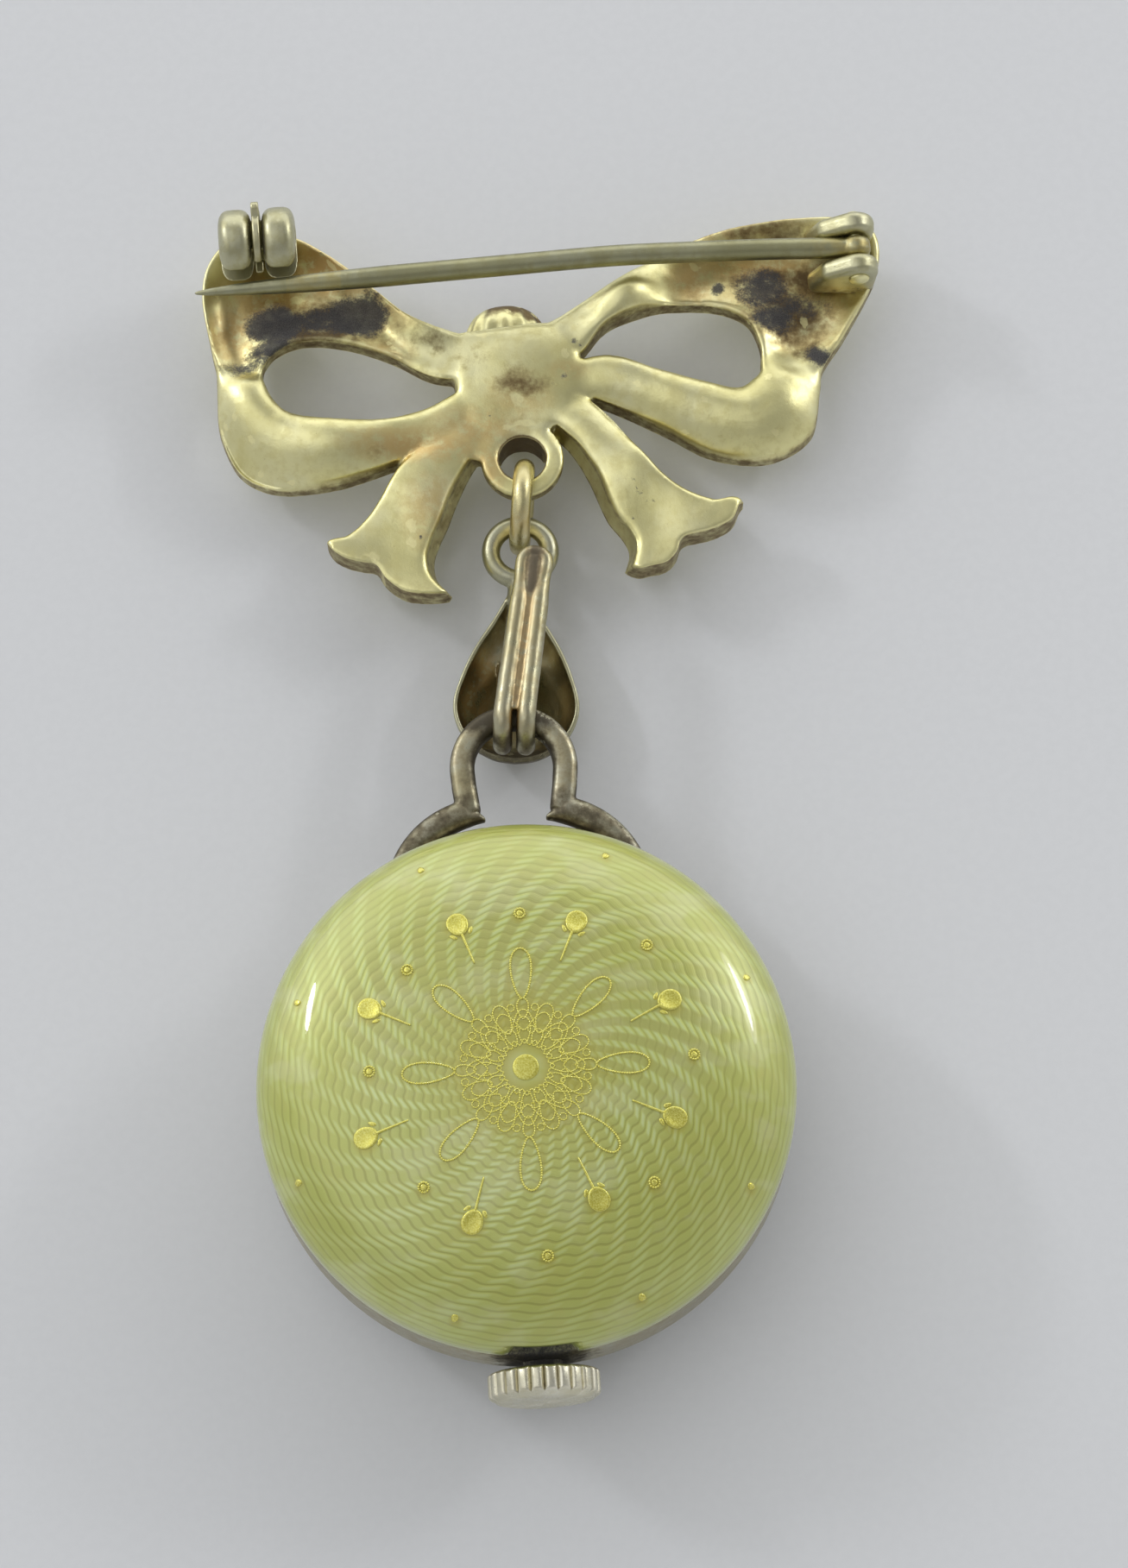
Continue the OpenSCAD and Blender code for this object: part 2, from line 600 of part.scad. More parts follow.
// The stem bends twice on its way over the bow, then runs straight past the catch to its point
module pin_stem() {
    bends = [[0, 0], [-0.14, 0.0135], [-0.36, 0.024], [-1, -0.002]];
    at = [for (b = bends) [hinge_x + b[0] * pin_len, hinge_y + b[1] * bow_h, pin_z]];
    straight = norm(at[3] - at[2]);
    // Turns that lay a thing drawn along +Z along a stretch of the stem
    lie = [for (i = [0 : 2]) [0, 90, atan2(at[i + 1][1] - at[i][1], at[i + 1][0] - at[i][0])]];
    // Distance from the tip in shares of pin_point, and radius there in shares of pin_r
    taper = [[1, 1], [0.62, 0.88], [0.23, 0.58], [0.03, 0.2], [0, 0]];
    color("#b5ad7e")
        in_place(bow_turn)
            difference() {
                union() {
                    hinge_bar(head_r, head_len);
                    bar(at[0], at[1], 0.96 * pin_r, pin_r);
                    elbow(at[1], pin_r, lie[1]);
                    bar(at[1], at[2], pin_r, pin_r);
                    elbow(at[2], pin_r, lie[2]);
                    translate(at[2])
                        rotate(lie[2])
                            rotate_extrude()
                                polygon(concat([[0, 0], [pin_r, 0]],
                                               [for (p = taper)
                                                   [p[1] * pin_r, straight - p[0] * pin_point]]));
                }
                hinge_bar(rivet_r + run_fit, 2 * head_len);
            }
}

// The lever is a ring that turns in the catch's slot, with a thumb tab
module catch_lever() {
    color("#c3bf9a")
        in_place(bow_turn)
            difference() {
                union() {
                    at_catch()
                        cylinder(r = lever_r, h = lever_t, center = true);
                    translate([catch_x, catch_y, pin_z])
                        rotate([tab_rise, 0, 0])
                            translate([-lever_t / 2, 0, -lever_t])
                                cube([lever_t, tab_reach, 2 * lever_t]);
                }
                at_catch()
                    cylinder(r = sleeve_r + run_fit, h = 2 * lever_t, center = true);
                mouth_cut(2 * lever_t);
            }
}

module jump_ring() {
    color("#b4a95c")
        in_place(0)
            translate([0, jump_y, jump_z])
                rotate([0, 90, jump_turn])
                    rotate_extrude()
                        translate([jump_r, 0])
                            circle(r = jump_wire_r);
}

// The pear's outline as points round it, anticlockwise from the neck
function pear_loop() =
    let (half = [for (p = smooth_rows(pear_outline, 2))
             [-max(p[1], 0) * pear_w, pear_bottom + p[0] * (pear_top - pear_bottom)]],
         n = len(half))
    concat(half, [for (i = [n - 2 : -1 : 1]) [-half[i][0], half[i][1]]]);

// The pear is a shallow bowl: rings shrink from the rim to the middle of its front
module pear() {
    loop = pear_loop();
    c = [0, pear_bottom + 0.4 * (pear_top - pear_bottom)];
    steps = 5;
    function bowl(depth, top, inset) =
        [for (i = [0 : steps])
            let (a = 86 * i / steps,
                 s = (1 - inset) * pow(cos(a), 0.8))
            [for (p = loop) [c[0] + (p[0] - c[0]) * s, c[1] + (p[1] - c[1]) * s,
                             top - depth * sin(a)]]];
    outside = bowl(pear_depth, pear_depth, 0);
    inset = 2 * pear_wall / pear_w;
    inside = bowl(pear_depth - pear_wall, pear_depth, inset);
    skin(concat([for (i = [steps : -1 : 0]) outside[i]], inside));
}

// Point of the hook's wires over the free end, on the middle line
function hook_end() = [hook_side + hook_len * tan(hook_lean), curl_y + hook_len,
                       stem_z + curl_r - hook_len * tan(hook_fall)];

// One wire of the hook: soldered end, curl round the bail, and free wire
module hook_wire(side) {
    x = hook_side + side * hook_spread / 2;
    top = [x, curl_y, stem_z + curl_r];
    below = [x, curl_y, stem_z - curl_r];
    foot = [x, curl_y + 0.46 * pear_len, 0.67 * pear_wall + hook_wire_r];
    elbow(top, hook_wire_r);
    bar(top, hook_end() + [side * hook_pinch / 2, 0, 0], hook_wire_r, hook_wire_r);
    translate([x, curl_y, stem_z])
        rotate([90, 0, -90])
            rotate_extrude(angle = 180, start = -90)
                translate([curl_r, 0])
                    circle(r = hook_wire_r);
    elbow(below, hook_wire_r);
    bar(below, foot, hook_wire_r, hook_wire_r);
    elbow(foot, hook_wire_r);
}

// The round bend that closes the hook's free end
module hook_tip() {
    for (side = [-1, 1])
        elbow(hook_end() + [side * hook_pinch / 2, 0, 0], hook_wire_r);
    translate(hook_end())
        rotate([-hook_fall, 0, -hook_lean])
            rotate_extrude(angle = 180)
                translate([hook_pinch / 2, 0])
                    circle(r = hook_wire_r);
}

module drop_hook() {
    color("#8f8768")
        in_place(drop_turn) {
            translate([0, drop_y, drop_z])
                rotate_extrude()
                    translate([drop_ring_r, 0])
                        circle(r = drop_wire_r);
            bar([0, drop_y - drop_ring_r - 0.2 * drop_wire_r, drop_z],
                [0, pear_top - 0.12 * pear_len, 0.69 * pear_depth],
                1.25 * drop_wire_r, 1.5 * drop_wire_r);
            pear();
            hook_wire(-1);
            hook_wire(1);
            hook_tip();
        }
}

// Puts a thing drawn round the watch's own middle into the jewel's frame
module at_watch() {
    translate([watch_xy[0] - middle_x, watch_xy[1] - middle_y, 0])
        rotate([0, 0, watch_turn])
            children();
}

// Lays a thing drawn round +Z along the stem, at a distance from the middle of the watch
module toward_crown(from) {
    rotate([0, 0, crown_side])
        translate([0, -from, stem_z])
            rotate([90, 0, 0])
                children();
}

// A bar from the middle of the watch out towards the crown
module crown_bar(r, from, to) {
    toward_crown(from)
        cylinder(r = r, h = to - from);
}

// Outline of one foot of the bail, from its inner end round to its tip on the case
module foot_outline() {
    first = 7.5;
    last = 28;
    steps = 10;
    polygon(concat(
        [for (i = [0 : steps])
            let (s = i / steps, a = first + (last - first) * s,
                 r = case_r + foot_gap - (foot_gap + 0.19 * foot_t) * pow(s, 1.3))
            [r * sin(a), r * cos(a)]],
        [for (i = [steps : -1 : 0])
            let (s = i / steps, a = first + (last - first) * s,
                 r = case_r + foot_gap + foot_t - (foot_gap + 0.7 * foot_t) * pow(s, 2.3))
            [r * sin(a), r * cos(a)]]));
}

// The horseshoe bail: an arch, two legs that lean in, and a foot each side
module bail() {
    arch_y = case_r + bail_reach;
    leg_end = case_r + foot_gap + 0.55 * foot_t;
    translate([0, arch_y, stem_z])
        rotate_extrude(angle = 180)
            translate([bail_r, 0])
                circle(r = bail_wire_r);
    for (side = [-1, 1]) {
        bar([side * bail_r, arch_y, stem_z], [side * 0.86 * bail_r, leg_end, stem_z],
            bail_wire_r, bail_wire_r);
        elbow([side * bail_r, arch_y, stem_z], bail_wire_r);
        elbow([side * 0.86 * bail_r, leg_end, stem_z], bail_wire_r);
        bar([side * 0.86 * bail_r, leg_end, stem_z], [side * 0.67 * bail_r, leg_end - 0.4 * bail_wire_r, stem_z],
            0.9 * bail_wire_r, 0.35 * bail_wire_r);
    }
    for (side = [0, 1])
        mirror([side, 0, 0])
            translate([0, 0, stem_z - foot_h / 2])
                linear_extrude(height = foot_h)
                    foot_outline();
}

module watch_case() {
    bulge = 0.13 * case_wall;
    color("#8d8878")
        at_watch()
            difference() {
                union() {
                    rotate_extrude()
                        polygon([[band_r, case_z], [case_r - bulge, case_z],
                                 [case_r, case_z + 0.25 * case_h],
                                 [case_r, case_z + 0.8 * case_h],
                                 [case_r - bulge, back_z], [band_r, back_z]]);
                    bail();
                    crown_bar(2.1 * stem_r, band_r + 0.2 * case_wall, case_r + 0.6 * crown_gap);
                }
                crown_bar(stem_r + run_fit, 0, crown_end);
            }
}

// Height of the dome over its rim at a radius
function dome(r, rim, h) = h * pow(max(1 - pow(r / rim, dome_power), 0), 1 / dome_power);

function dome_line(rim, h, z) =
    [for (i = [0 : 20]) let (r = rim * sin(90 * (1 - i / 20))) [max(r, 0), z + dome(r, rim, h)]];

// The enamelled back: a domed cover with a lip that snaps into the band
module enamel_back() {
    z = back_z + piece_gap;
    lip_r = band_r - piece_gap;
    lip_t = 0.55 * dome_t;
    lip_h = 0.67 * dome_t;
    under = dome_line(case_r - dome_t, dome_h - dome_t, z);
    color("#b7bf6a")
        at_watch()
            difference() {
                rotate_extrude()
                    polygon(concat(dome_line(case_r, dome_h, z),
                                   [for (i = [len(under) - 1 : -1 : 1])
                                       if (under[i][0] < lip_r - lip_t) under[i]],
                                   [[lip_r - lip_t, z + 0.2 * lip_t], [lip_r - lip_t, z - lip_h],
                                    [lip_r, z - lip_h], [lip_r, z]]));
                crown_notch(z);
            }
}

// The notch over the crown, wider at the rim
module crown_notch(z) {
    flare = notch_w / 8;
    rotate([0, 0, 180 + crown_side])
        translate([0, case_r, z - notch_depth / 4])
            linear_extrude(height = 0.3 * dome_h)
                polygon([[-notch_w / 2 - flare, notch_w / 3], [notch_w / 2 + flare, notch_w / 3],
                         [notch_w / 2 + flare, -0.45 * notch_depth],
                         [notch_w / 2 - flare, -notch_depth], [flare - notch_w / 2, -notch_depth],
                         [-notch_w / 2 - flare, -0.45 * notch_depth]]);
}

module bezel() {
    color("#9a947c")
        at_watch()
            rotate_extrude()
                polygon([[crystal_r + piece_gap, crystal_z + 0.06 * bezel_h],
                         [crystal_r + 0.2 * bezel_w, crystal_z - 0.06 * bezel_h],
                         [case_r - case_wall, crystal_z + 0.25 * bezel_h],
                         [case_r - 0.28 * case_wall, crystal_z + 0.6 * bezel_h],
                         [case_r - 0.13 * case_wall, case_z - piece_gap],
                         [seat_r, case_z - piece_gap],
                         [seat_r, lip_z], [crystal_r + piece_gap, lip_z]]);
}

module crystal() {
    seat_z = lip_z + piece_gap;
    flange_r = seat_r - piece_gap;
    flange_t = 0.86 * crystal_t;
    shoulder = crystal_r - crystal_flat_r;
    curve_out = [for (a = [0 : 10 : 90])
        [crystal_flat_r + shoulder * sin(a), crystal_z * (1 - cos(a))]];
    curve_in = [for (a = [90 : -10 : 0])
        [crystal_flat_r + (shoulder - crystal_t) * sin(a),
         crystal_t + (seat_z + flange_t - crystal_t) * (1 - cos(a))]];
    color("#e6ecec", 0.4)
        at_watch()
            rotate_extrude()
                polygon(concat([[0, 0]], curve_out,
                               [[crystal_r, seat_z], [flange_r, seat_z],
                                [flange_r, seat_z + flange_t]],
                               curve_in, [[0, crystal_t]]));
}

module dial() {
    color("#e9e4d2")
        at_watch()
            difference() {
                translate([0, 0, dial_z])
                    cylinder(r = dial_r, h = dial_t);
                translate([0, 0, dial_z - dial_t])
                    cylinder(r = post_r + piece_gap, h = 3 * dial_t);
            }
}

// The movement is one plain block that carries the hands' post and the stem's bore
module movement() {
    z = dial_z + dial_t + piece_gap;
    color("#b9a25a")
        at_watch()
            difference() {
                union() {
                    translate([0, 0, z])
                        cylinder(r = dial_r, h = back_z - dome_t - z);
                    translate([0, 0, minute_z - 1.5 * hand_t])
                        cylinder(r = post_r, h = z - minute_z + 2.5 * hand_t);
                }
                crown_bar(stem_r + run_fit, stem_in - stem_r, case_r);
            }
}

module winding_stem() {
    color("#b8b4a6")
        at_watch()
            crown_bar(stem_r, stem_in, crown_in + 0.75 * crown_len);
}

// The crown's fluted rim: round crests with narrow grooves between them
module crown() {
    points = 12 * flutes;
    r = crown_d / 2;
    cap_r = r - 1.1 * flute_depth;
    rim = [for (i = [0 : points - 1])
        let (a = 360 * i / points, s = abs(sin(flutes * a / 2)),
             q = r - flute_depth * pow(1 - s, 2.2))
        [q * cos(a), q * sin(a)]];
    color("#d3d0c0")
        at_watch()
            difference() {
                union() {
                    toward_crown(crown_in)
                        linear_extrude(height = crown_len)
                            polygon(rim);
                    toward_crown(crown_in + crown_len)
                        rotate_extrude()
                            polygon([[0, -crown_dome / 2], [cap_r, -crown_dome / 2],
                                     [cap_r, 0], [0.86 * r, 0.55 * crown_dome],
                                     [0.6 * r, 0.9 * crown_dome], [0.3 * r, crown_dome],
                                     [0, crown_dome]]);
                }
                crown_bar(stem_r + run_fit, crown_in - crown_gap, crown_in + 0.8 * crown_len);
            }
}

// A leaf-shaped hand that points towards the crown's far side, with a round hub
module hand(l, w, z, angle) {
    color("#3c3a34")
        at_watch()
            translate([0, 0, z])
                rotate([0, 0, angle])
                    difference() {
                        union() {
                            cylinder(r = 2.4 * post_r, h = hand_t);
                            linear_extrude(height = hand_t)
                                polygon([[0, 0.12 * l], [w / 2, 0.45 * l], [0.12 * w, l],
                                         [-0.12 * w, l], [-w / 2, 0.45 * l], [-0.2 * w, -0.18 * l],
                                         [0.2 * w, -0.18 * l]]);
                        }
                        translate([0, 0, -hand_t])
                            cylinder(r = post_r + run_fit, h = 3 * hand_t);
                    }
}

module hour_hand() {
    hand(hour_share * dial_r, 0.1 * dial_r, hour_z, 60);
}

module minute_hand() {
    hand(minute_share * dial_r, 0.073 * dial_r, minute_z, -50);
}

bow();
hinge_rivet();
pin_stem();
catch_lever();
jump_ring();
drop_hook();
watch_case();
enamel_back();
bezel();
crystal();
dial();
movement();
winding_stem();
crown();
hour_hand();
minute_hand();
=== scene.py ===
"""The look of a chatelaine watch pin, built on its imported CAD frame.

Shapes are made in millimetres in the row frame, and scaled to metres when their object is made.
Tables of sections repeat those of the CAD source, drawn here with finer steps and softer edges.
"""

import json
import math

import bmesh
import bpy
import numpy as np
from mathutils import Matrix, Vector, noise


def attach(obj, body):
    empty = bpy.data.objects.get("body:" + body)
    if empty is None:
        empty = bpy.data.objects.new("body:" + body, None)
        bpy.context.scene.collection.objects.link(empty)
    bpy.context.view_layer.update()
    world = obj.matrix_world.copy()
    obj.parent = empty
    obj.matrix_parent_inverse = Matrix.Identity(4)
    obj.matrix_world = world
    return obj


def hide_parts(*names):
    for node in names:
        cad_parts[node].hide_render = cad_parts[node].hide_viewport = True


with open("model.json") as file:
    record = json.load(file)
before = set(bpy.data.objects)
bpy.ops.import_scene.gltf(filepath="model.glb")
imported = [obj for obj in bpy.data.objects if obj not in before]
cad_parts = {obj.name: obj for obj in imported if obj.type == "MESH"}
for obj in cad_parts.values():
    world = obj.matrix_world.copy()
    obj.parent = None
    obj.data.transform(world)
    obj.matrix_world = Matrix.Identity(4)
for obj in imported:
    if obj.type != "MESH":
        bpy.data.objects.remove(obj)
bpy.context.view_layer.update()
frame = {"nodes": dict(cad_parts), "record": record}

MM = 0.001
# A piece with more triangles than this is thinned out
MOST_TRIANGLES = 190000

# Places of the joints in the row frame, in millimetres
JOINTS = {j["name"]: j for j in frame["record"]["behaviour"]["joints"]}
HINGE, CATCH, CROWN, WATCH = (np.array(JOINTS[name]["pos_m"]) / MM
                              for name in ("pin_hinge", "catch_turn", "crown_turn", "minute_turn"))

# Turns about the vertical, in degrees
BOW_TURN = 4.2
DROP_TURN = -1.3
WATCH_TURN = 2.4
CROWN_SIDE = 1.1
JUMP_TURN = -4.0

# Bow
BOW_W = 35.3
BOW_H = 20.8
BOW_T = 4.0
LOOP_T = 1.6
TAIL_T = 2.0
KNOT_W = 4.8
KNOT_PLEATS = 7
PLEAT_DEPTH = 0.16
EYE_HOLE_R = 1.19
EYE_RIM = 0.92
EYE_LOW, EYE_TOP = 2.9, 3.88
HINGE_IN_BOW = (0.509 * BOW_W, 0.473 * BOW_H)
CATCH_IN_BOW = (-0.363 * BOW_W, 0.6 * BOW_H)

# Pin, hinge and catch
PIN_Z = 5.0
PIN_LEN = 34.2
HEAD_R = 0.75
HEAD_LEN = 1.1
EAR_T = 1.1
EAR_R = 1.05
CATCH_R = 1.75
CATCH_W = 3.95
CATCH_HOLE_R = 0.66
CATCH_MOUTH = 1.3
SLEEVE_R = 1.02
LEVER_T = 0.4
SLOT_W = 0.56
LEVER_R = 1.63
TAB_REACH = 2.2
TAB_RISE = 50

# Chain, all round the eye of the bow
JUMP_WIRE_R = 0.52
JUMP_R = 1.98
JUMP_Y, JUMP_Z = -2.442, 3.154
DROP_WIRE_R = 0.48
DROP_RING_R = 1.48
DROP_Y, DROP_Z = -4.707, 2.655
PEAR_TOP, PEAR_BOTTOM = -6.763, -15.863
PEAR_W = 6.4
PEAR_DEPTH = 2.4
PEAR_WALL = 0.45
HOOK_WIRE_R = 0.48
HOOK_END_R = 0.37
HOOK_SPREAD = 1.15
HOOK_PINCH = 1.0
HOOK_LEN = 8.3
HOOK_LEAN = 5.5
HOOK_FALL = 4.0
# Where the wire starts in the pear, measured up from the curl
HOOK_FOOT = 0.46 * 9.1
# Where the hook's two runs come together, measured back from its free end
HOOK_JOIN = 1.9
CURL_R = 1.25
CURL_Y = -14.518

# Watch
CASE_R = 13.0
CASE_WALL = 0.9
CASE_Z = 3.2
BACK_Z = 7.2
STEM_Z = 5.2
DOME_H = 4.4
DOME_POWER = 2.45
DOME_WALL = 0.9
FOIL_RISE = 0.09
PIECE_GAP = 0.06
NOTCH_HALF_W, NOTCH_H, NOTCH_DEPTH, NOTCH_SLOPE = 1.78, 1.25, 0.42, 0.42
BAIL_R = 2.57
BAIL_WIRE_R = 0.62
BAIL_REACH = 3.65
FOOT_GAP = 1.0
FOOT_T = 1.3
FOOT_H = 1.3
CROWN_R = 2.7
CROWN_LEN = 1.25
FLUTES = 24
FLUTE_DEPTH = 0.22
DIAL_Z = 3.55
HOUR_R, HOUR_SIZE, MINUTE_R = 8.3, 2.5, 10.35

# Half the floor's width and its height, in metres
FLOOR_HALF = 0.6
FLOOR_Z = -0.0002

# Camera: from the bow's eye in millimetres, turned down in degrees, and its lens
CAMERA_FROM_EYE = (2.129, -77.407)
CAMERA_Z = 206.439
CAMERA_DOWN = 73.5
SENSOR = 36.0
LENS = 4900 / 1817 * SENSOR

# Radiance of the room over the jewel, near the horizon, and of the wall behind it
ROOM_HIGH = 0.30
ROOM_LOW = 0.56
WALL = 0.95
# A paler patch of ceiling, to the left: radiance, direction, and degrees from its middle to its edge
# and to where it is full
PATCH = 0.74
PATCH_AT = (-0.45, 0.06, 0.89)
PATCH_EDGE, PATCH_FULL = 36, 9
ROOM_COLOUR = (0.985, 0.99, 1.0)

# Lamps: direction from the jewel, line of the longer side, sizes in metres, watts and colour
AIM = (0, -0.01, 0.006)
LAMP_DISTANCE = 0.6
FROM_LEFT, FROM_RIGHT = (-0.732, 0.435, 0.524), (0.734, 0.478, 0.483)
LEFT_ALONG, RIGHT_ALONG = (0.022, 0.784, -0.620), (-0.385, 0.878, -0.284)
LAMPS = [("left_lamp", FROM_LEFT, LEFT_ALONG, (0.032, 0.13), 0.36, (0.97, 0.985, 1.05)),
         ("right_lamp", FROM_RIGHT, RIGHT_ALONG, (0.030, 0.16), 0.21, (0.97, 0.985, 1.05)),
         ("right_glow", FROM_RIGHT, RIGHT_ALONG, (0.095, 0.22), 0.16, (1.0, 0.99, 0.96))]


# ---------------------------------------------------------------- frames of reference

def turned(points, degrees):
    """Points turned about the vertical."""
    a = math.radians(degrees)
    p = np.array(points, float)
    out = p.copy()
    out[:, 0] = p[:, 0] * math.cos(a) - p[:, 1] * math.sin(a)
    out[:, 1] = p[:, 0] * math.sin(a) + p[:, 1] * math.cos(a)
    return out


def eye_centre():
    """Middle of the bow's eye in the row frame, found back from the hinge."""
    hinge = turned([[*HINGE_IN_BOW, 0]], BOW_TURN)[0]
    return np.array([HINGE[0] - hinge[0], HINGE[1] - hinge[1], 0.0])


EYE = eye_centre()


def in_bow(points):
    return turned(points, BOW_TURN) + EYE


def in_drop(points):
    return turned(points, DROP_TURN) + EYE


def in_watch(points):
    return turned(points, WATCH_TURN) + np.array([WATCH[0], WATCH[1], 0.0])


def in_crown(points):
    """Points drawn round +Z become points round the stem, from the crown's inner face outwards."""
    return turned(points[:, [0, 2, 1]] * (1, -1, 1), WATCH_TURN + CROWN_SIDE) + CROWN


# ---------------------------------------------------------------- lines, rings and skins

def turns(n):
    """Angles that divide a full turn into n."""
    return [2 * math.pi * k / n for k in range(n)]


def polar(r, a):
    """The place at a radius and an angle in radians."""
    return r * math.cos(a), r * math.sin(a)


def signed_power(value, power):
    """A power of the size of a value, with the value's sign."""
    return math.copysign(abs(value) ** power, value)


def outward(points, faces):
    """Faces turned so that they look out of the solid."""
    points = np.asarray(points, float)
    total = 0.0
    for f in faces:
        a = points[f[0]]
        for k in range(1, len(f) - 1):
            total += np.dot(a, np.cross(points[f[k]], points[f[k + 1]]))
    return [tuple(reversed(f)) for f in faces] if total < 0 else [tuple(f) for f in faces]


def loft(rings, close=False):
    """Points and faces of a skin over rings of equal length, capped unless it closes on itself."""
    n, m = len(rings[0]), len(rings)
    points = np.concatenate([np.asarray(r, float) for r in rings])
    faces = []
    for i in range(m if close else m - 1):
        for j in range(n):
            a, b = i * n + j, i * n + (j + 1) % n
            c, d = ((i + 1) % m) * n + (j + 1) % n, ((i + 1) % m) * n + j
            faces.append((a, b, c, d))
    if not close:
        faces.append(tuple(reversed(range(n))))
        faces.append(tuple((m - 1) * n + j for j in range(n)))
    return points, outward(points, faces)


def lathe(profile, segments, close=False):
    """A profile of (radius, height) turned about +Z. Closed profiles join their ends."""
    points = np.array([(*polar(r, a), z) for a in turns(segments) for r, z in profile])
    n = len(profile)
    faces = []
    for k in range(segments):
        q = (k + 1) % segments
        for i in range(n if close else n - 1):
            j = (i + 1) % n
            faces.append((k * n + i, q * n + i, q * n + j, k * n + j))
    points, faces = merged(points, faces)
    return points, outward(points, faces)


def merged(points, faces, near=1e-6):
    """Points that coincide become one, and faces that this folds up are dropped."""
    keys, index, kept = {}, [], []
    for p in points:
        k = tuple(np.round(p / near).astype(np.int64))
        if k not in keys:
            keys[k] = len(kept)
            kept.append(p)
        index.append(keys[k])
    out = []
    for f in faces:
        g = []
        for v in f:
            if not g or index[v] != g[-1]:
                g.append(index[v])
        if len(g) > 1 and g[0] == g[-1]:
            g.pop()
        if len(g) > 2:
            out.append(tuple(g))
    return np.array(kept), out


def joined(parts):
    """Several (points, faces) as one."""
    points, faces, base = [], [], 0
    for p, f in parts:
        points.append(np.asarray(p, float))
        faces += [tuple(v + base for v in face) for face in f]
        base += len(p)
    return np.concatenate(points), faces


def spline(rows, steps):
    """Rows of a table with smooth rows between them."""
    rows = [np.array(r, float) for r in rows]
    n = len(rows) - 1
    out = []
    for i in range(n):
        a, b, c, d = rows[max(i - 1, 0)], rows[i], rows[i + 1], rows[min(i + 2, n)]
        for s in range(steps):
            t = s / steps
            out.append(0.5 * (2 * b + (c - a) * t + (2 * a - 5 * b + 4 * c - d) * t * t
                              + (3 * b - a - 3 * c + d) * t ** 3))
    return out + [rows[n]]


def rounded_path(corners, step, soft):
    """Points along straight stretches, with the corners eased over the length soft."""
    pts = [np.array(c, float) for c in corners]
    out = []
    for a, b in zip(pts, pts[1:]):
        n = max(2, int(np.linalg.norm(b - a) / step))
        out += [a + (b - a) * k / n for k in range(n)]
    out = np.array(out + [pts[-1]])
    half = max(1, int(soft / step / 2))
    eased_path = out.copy()
    for i in range(len(out)):
        w = min(half, i, len(out) - 1 - i)
        eased_path[i] = out[i - w:i + w + 1].mean(axis=0)
    return eased_path


def sweep(path, radius, sides, power=2.0, flat=1.0):
    """A bar along a path. power over 2 squares the section, and flat scales its height."""
    path = np.asarray(path, float)
    n = len(path)
    radii = np.full(n, radius) if np.isscalar(radius) else np.asarray(radius, float)
    rings = []
    side = None
    for i in range(n):
        t = path[min(i + 1, n - 1)] - path[max(i - 1, 0)]
        t /= np.linalg.norm(t)
        if side is None:
            side = np.cross(t, (0.0, 0, 1))
            if np.linalg.norm(side) < 1e-3:
                side = np.cross(t, (1.0, 0, 0))
        side = side - t * np.dot(side, t)
        side /= np.linalg.norm(side)
        top = np.cross(side, t)
        rings.append([path[i] + radii[i] * (signed_power(math.cos(a), 2 / power) * side
                                            + flat * signed_power(math.sin(a), 2 / power) * top)
                      for a in turns(sides)])
    return loft(rings)


def ball(centre, r, squash, rows=12, sides=20):
    """A round lump."""
    steps = [math.pi * i / rows for i in range(rows + 1)]
    p, f = lathe([(max(r * math.sin(b), 0.0), -r * math.cos(b)) for b in steps], sides)
    return p * np.array(squash) + np.array(centre, float), f


def prism(outline, low, high):
    """An outline in X and Y between two heights."""
    n = len(outline)
    points = np.array([(x, y, z) for z in (low, high) for x, y in outline], float)
    faces = [tuple(reversed(range(n))), tuple(range(n, 2 * n))]
    faces += [(i, (i + 1) % n, n + (i + 1) % n, n + i) for i in range(n)]
    return points, outward(points, faces)


def hull(points):
    """The tight skin round points."""
    bm = bmesh.new()
    for p in points:
        bm.verts.new(p)
    bmesh.ops.convex_hull(bm, input=bm.verts[:])
    bmesh.ops.delete(bm, geom=[v for v in bm.verts if not v.link_faces], context="VERTS")
    bm.verts.index_update()
    pts = np.array([v.co[:] for v in bm.verts])
    faces = [tuple(v.index for v in f.verts) for f in bm.faces]
    bm.free()
    return pts, outward(pts, faces)


# ---------------------------------------------------------------- meshes and objects

def as_mesh(name, points, faces):
    mesh = bpy.data.meshes.new(name)
    mesh.from_pydata([tuple(p) for p in points], [], [tuple(f) for f in faces])
    mesh.update()
    return mesh


def linked(name, data):
    """A new object in the scene."""
    obj = bpy.data.objects.new(name, data)
    bpy.context.scene.collection.objects.link(obj)
    return obj


def new_object(name, points, faces, material, smooth=True, sharp=None):
    """An object in metres from points in millimetres. sharp is the angle over which edges stay crisp."""
    return finish_object(name, as_mesh(name, np.asarray(points, float) * MM, faces), material, smooth, sharp)


def finish_object(name, mesh, material, smooth=True, sharp=None):
    obj = linked(name, mesh)
    mesh.polygons.foreach_set("use_smooth", [smooth] * len(mesh.polygons))
    if sharp is not None:
        mesh.set_sharp_from_angle(angle=math.radians(sharp))
    mesh.materials.append(material)
    return obj


def arrays(mesh):
    """The points and faces of a mesh, which is removed."""
    points = np.empty(len(mesh.vertices) * 3)
    mesh.vertices.foreach_get("co", points)
    faces = [tuple(p.vertices) for p in mesh.polygons]
    bpy.data.meshes.remove(mesh)
    return points.reshape(-1, 3), faces


def evaluated(obj):
    """The mesh of an object with its modifiers, as arrays."""
    graph = bpy.context.evaluated_depsgraph_get()
    return arrays(bpy.data.meshes.new_from_object(obj.evaluated_get(graph)))


def dropped(obj):
    """An object and its mesh are removed."""
    mesh = obj.data
    bpy.data.objects.remove(obj)
    bpy.data.meshes.remove(mesh)


